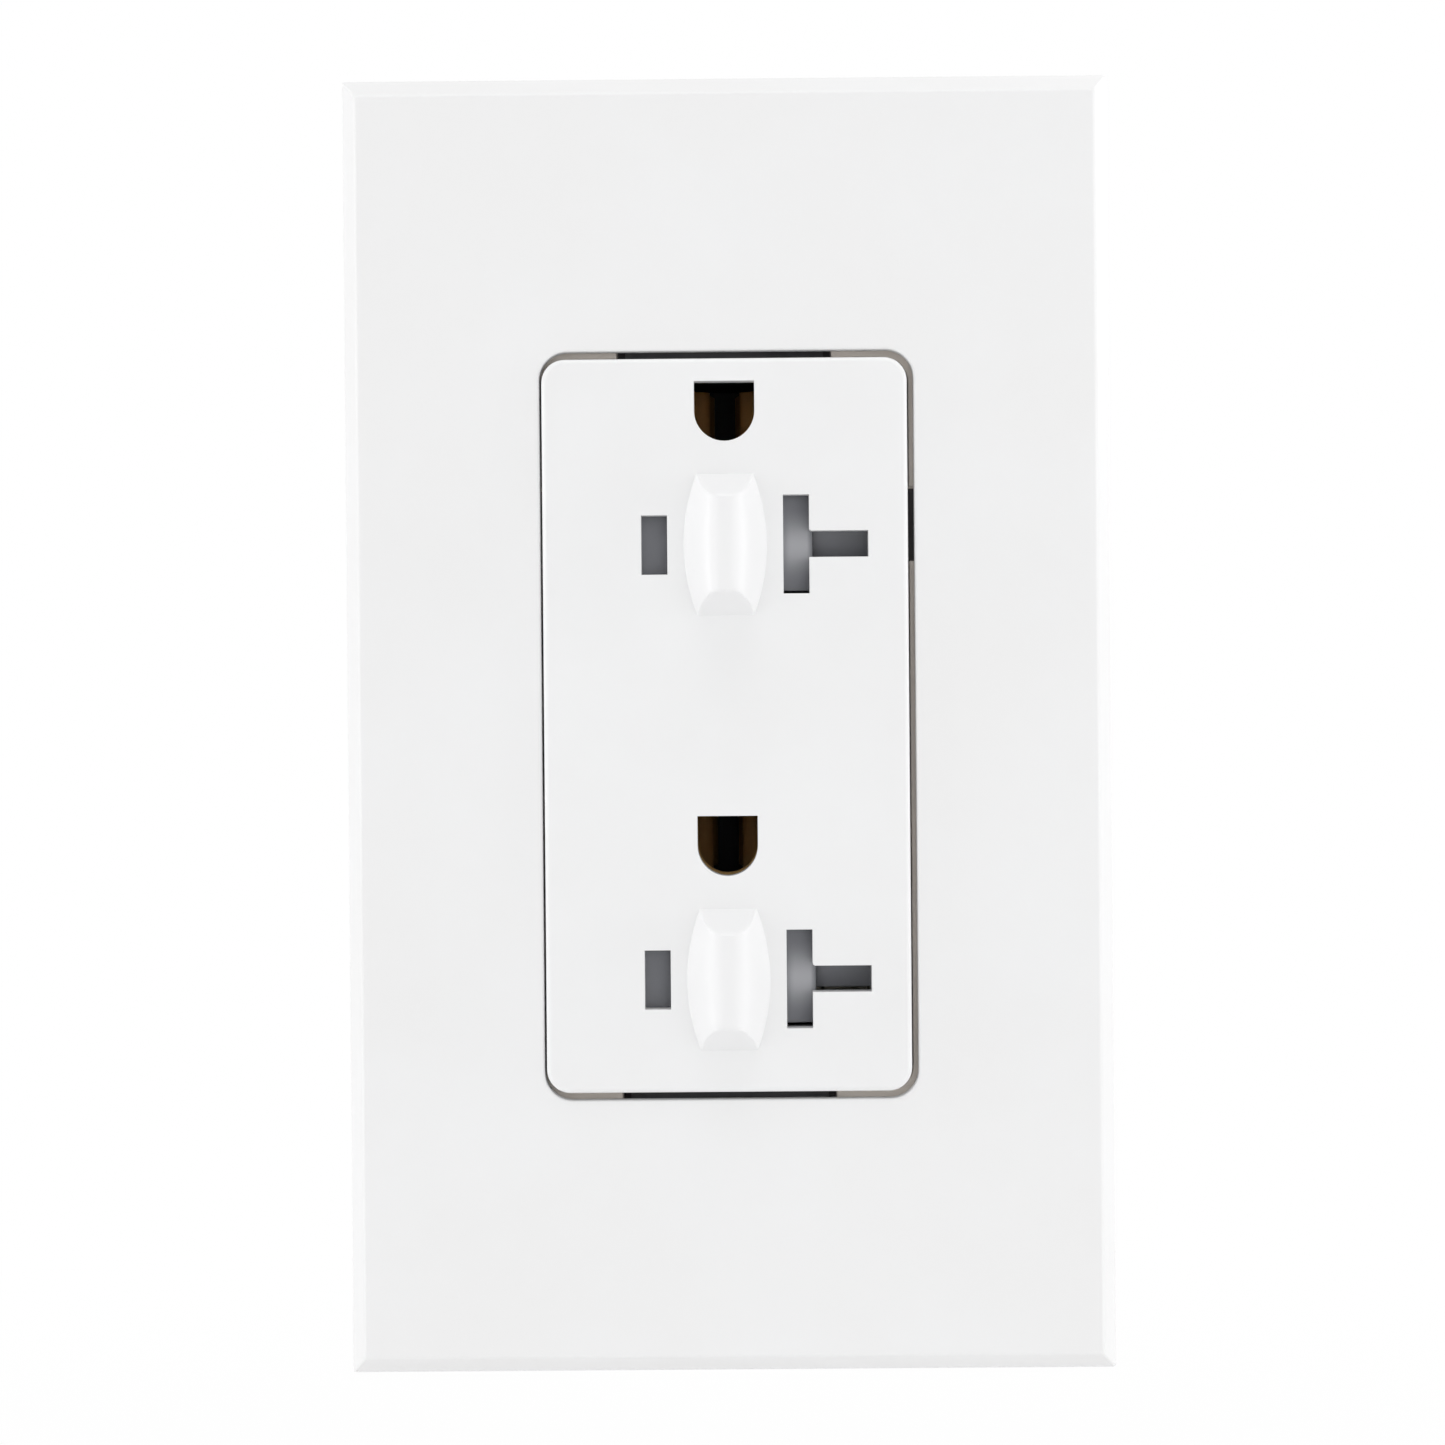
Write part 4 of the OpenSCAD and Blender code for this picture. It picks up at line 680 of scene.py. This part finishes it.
def red_fibre():
    """Vulcanised fibre: a mottled brick red with a short paper grain."""
    material, place = new_finish("retainer_fibre")
    grain = place.noise(0.0004, 4, (0.3, 1, 1))
    mottle = place.noise(0.0025, 3)
    return finish_with(material, place, {
        "Base Color": (0.5 * grain + 0.5 * mottle).mix((0.2, 0.055, 0.03, 1), (0.36, 0.13, 0.07, 1)),
        "Roughness": 0.7 + 0.15 * grain,
        "Normal": grain.bump(1e-5),
    })


retainer_fibre = red_fibre()
stand_for(break_edges(form_piece("screw_retainer_squares", cad_form("screw_retainers")), 0.00006),
          ["screw_retainers"], "receptacle", retainer_fibre)


# Adapter. The thin ivory frame that screws to the strap in front and that the wallplate snaps on to.
# It is a plain satin moulding, and shows only in the gap round the face. Its screws are sunk flush.
adapter_plastic = moulded_plastic("adapter_plastic", (0.88, 0.81, 0.735), (0.82, 0.75, 0.68),
                                  roughness=0.42, grain=0.0004, depth=5e-6)
stand_for(break_edges(form_piece("adapter_moulding", cad_form("adapter")), 0.0002),
          ["adapter"], "receptacle", adapter_plastic)
SUNK_SEAT = -0.0015
SUNK_HEAD = 0.0032
low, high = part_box("adapter_screws")
sunk_places = [(0, SUNK_SEAT, row) for row in (high.z - SUNK_HEAD, low.z + SUNK_HEAD)]
screws("adapter_screw_set", ["adapter_screws"], "receptacle", bright_zinc,
       sunk_places, FRONT, {
           "Head radius": SUNK_HEAD, "Head height": 0.0015, "Head taper": 0.47,
           "Shank radius": 0.0017, "Thread root": 0.0014, "Pitch": 0.00079,
           "Length": high.y - SUNK_SEAT, "Neck": 0.0004,
           "Slot": 0.0006, "Cross share": 0.2, "Turn": 0.25})


# Wallplate. The hollow bevelled cover that snaps over the adapter and hides every screw.
# It is moulded in white with a fine matt grain on the front, softer edges outside, and grip ribs inside.
white_plate = moulded_plastic("white_plate", (0.862, 0.864, 0.868), (0.85, 0.848, 0.848),
                              roughness=0.44, grain=0.00032, depth=5e-6)
stand_for(break_edges(form_piece("wallplate_moulding", cad_form("wallplate", weld=1e-4)), 0.0002),
          ["wallplate"], "wallplate", white_plate)


# Studio. A plain pale floor a little under the wallplate, a white surround, a narrow upright lamp at each
# side, level with the face, and softer lamps in front, above and behind.
# The camera stands a third of a metre in front, as in the photograph.
def surround(tree):
    """1 for rays that show the background itself: seen straight, mirrored or through something clear."""
    straight, mirrored, through = (tree.make("ShaderNodeLightPath", None, None, way)
                                   for way in ("Is Camera Ray", "Is Glossy Ray", "Is Transmission Ray"))
    return straight.maths("MAXIMUM", mirrored).maths("MAXIMUM", through)


FLOOR_HALF = 1.5
FLOOR_DROP = 0.03
floor_level = cad_box[0].z - FLOOR_DROP
floor_corners = [(x * FLOOR_HALF, y * FLOOR_HALF, floor_level)
                 for x, y in ((-1, -1), (1, -1), (1, 1), (-1, 1))]
floor_mesh = bpy.data.meshes.new("floor")
floor_mesh.from_pydata(floor_corners, [], [(0, 1, 2, 3)])
floor = new_piece("floor", floor_mesh)
floor_paper, place = new_finish("floor_paper")
tone = place.noise(0.2, 2).mix((0.94, 0.94, 0.94, 1), (0.96, 0.96, 0.96, 1))
paper = place.make("ShaderNodeBsdfDiffuse", None, {"Color": tone})
glow = place.make("ShaderNodeEmission", None, {"Color": (1, 1, 1, 1), "Strength": 1.0})
distance = place.make("ShaderNodeVectorMath", {"operation": "LENGTH"}, {0: place}, "Value")
fade = 0.82 + 0.18 * distance.step(0.08, 0.3)
lit = place.make("ShaderNodeMixShader", None, {0: fade * surround(place), 1: paper, 2: glow})
place.make("ShaderNodeOutputMaterial", None, {"Surface": lit})
floor_mesh.materials.append(floor_paper)

world = bpy.data.worlds.new("studio")
world.use_nodes = True
world.node_tree.nodes.clear()
tree = Wire(world.node_tree)
seen = tree.make("ShaderNodeBackground", None, {"Color": (1, 1, 1, 1), "Strength": 1.0})
fill = tree.make("ShaderNodeBackground", None, {"Color": (1, 1, 1, 1), "Strength": 0.735})
sky = tree.make("ShaderNodeMixShader", None, {0: surround(tree), 1: fill, 2: seen})
tree.make("ShaderNodeOutputWorld", None, {"Surface": sky})
bpy.context.scene.world = world

LAMP_HEIGHT = 0.6
for name, place, width, power in (("left_lamp", (-0.96, -0.08, 0.02), 0.2, 2.35),
                                  ("right_lamp", (0.96, -0.08, 0.02), 0.2, 2.35),
                                  ("left_front_lamp", (-0.7, -0.65, 0.02), 0.6, 1.1),
                                  ("right_front_lamp", (0.7, -0.65, 0.02), 0.6, 1.1),
                                  ("top_lamp", (0, -0.21, 0.94), 0.6, 1.9),
                                  ("back_lamp", (0.5, 0.9, 0.45), 0.7, 1.5)):
    lamp = bpy.data.lights.new(name, "AREA")
    lamp.shape = "RECTANGLE"
    lamp.size = width
    lamp.size_y = LAMP_HEIGHT
    lamp.energy = power
    holder = new_piece(name, lamp)
    holder.location = place
    holder.rotation_euler = (-Vector(place)).to_track_quat("-Z", "Y").to_euler()

lens = bpy.data.cameras.new("camera")
lens.sensor_width = 36.0
lens.lens = 94.781
lens.clip_start = 0.01
camera = new_piece("camera", lens)
camera.location = (0.00163, -0.3476, 0.002379)
camera.rotation_euler = [math.radians(a) for a in (89.64199, 0.48010, 0.33501)]
bpy.context.scene.camera = camera
bpy.context.scene.view_settings.view_transform = "Standard"
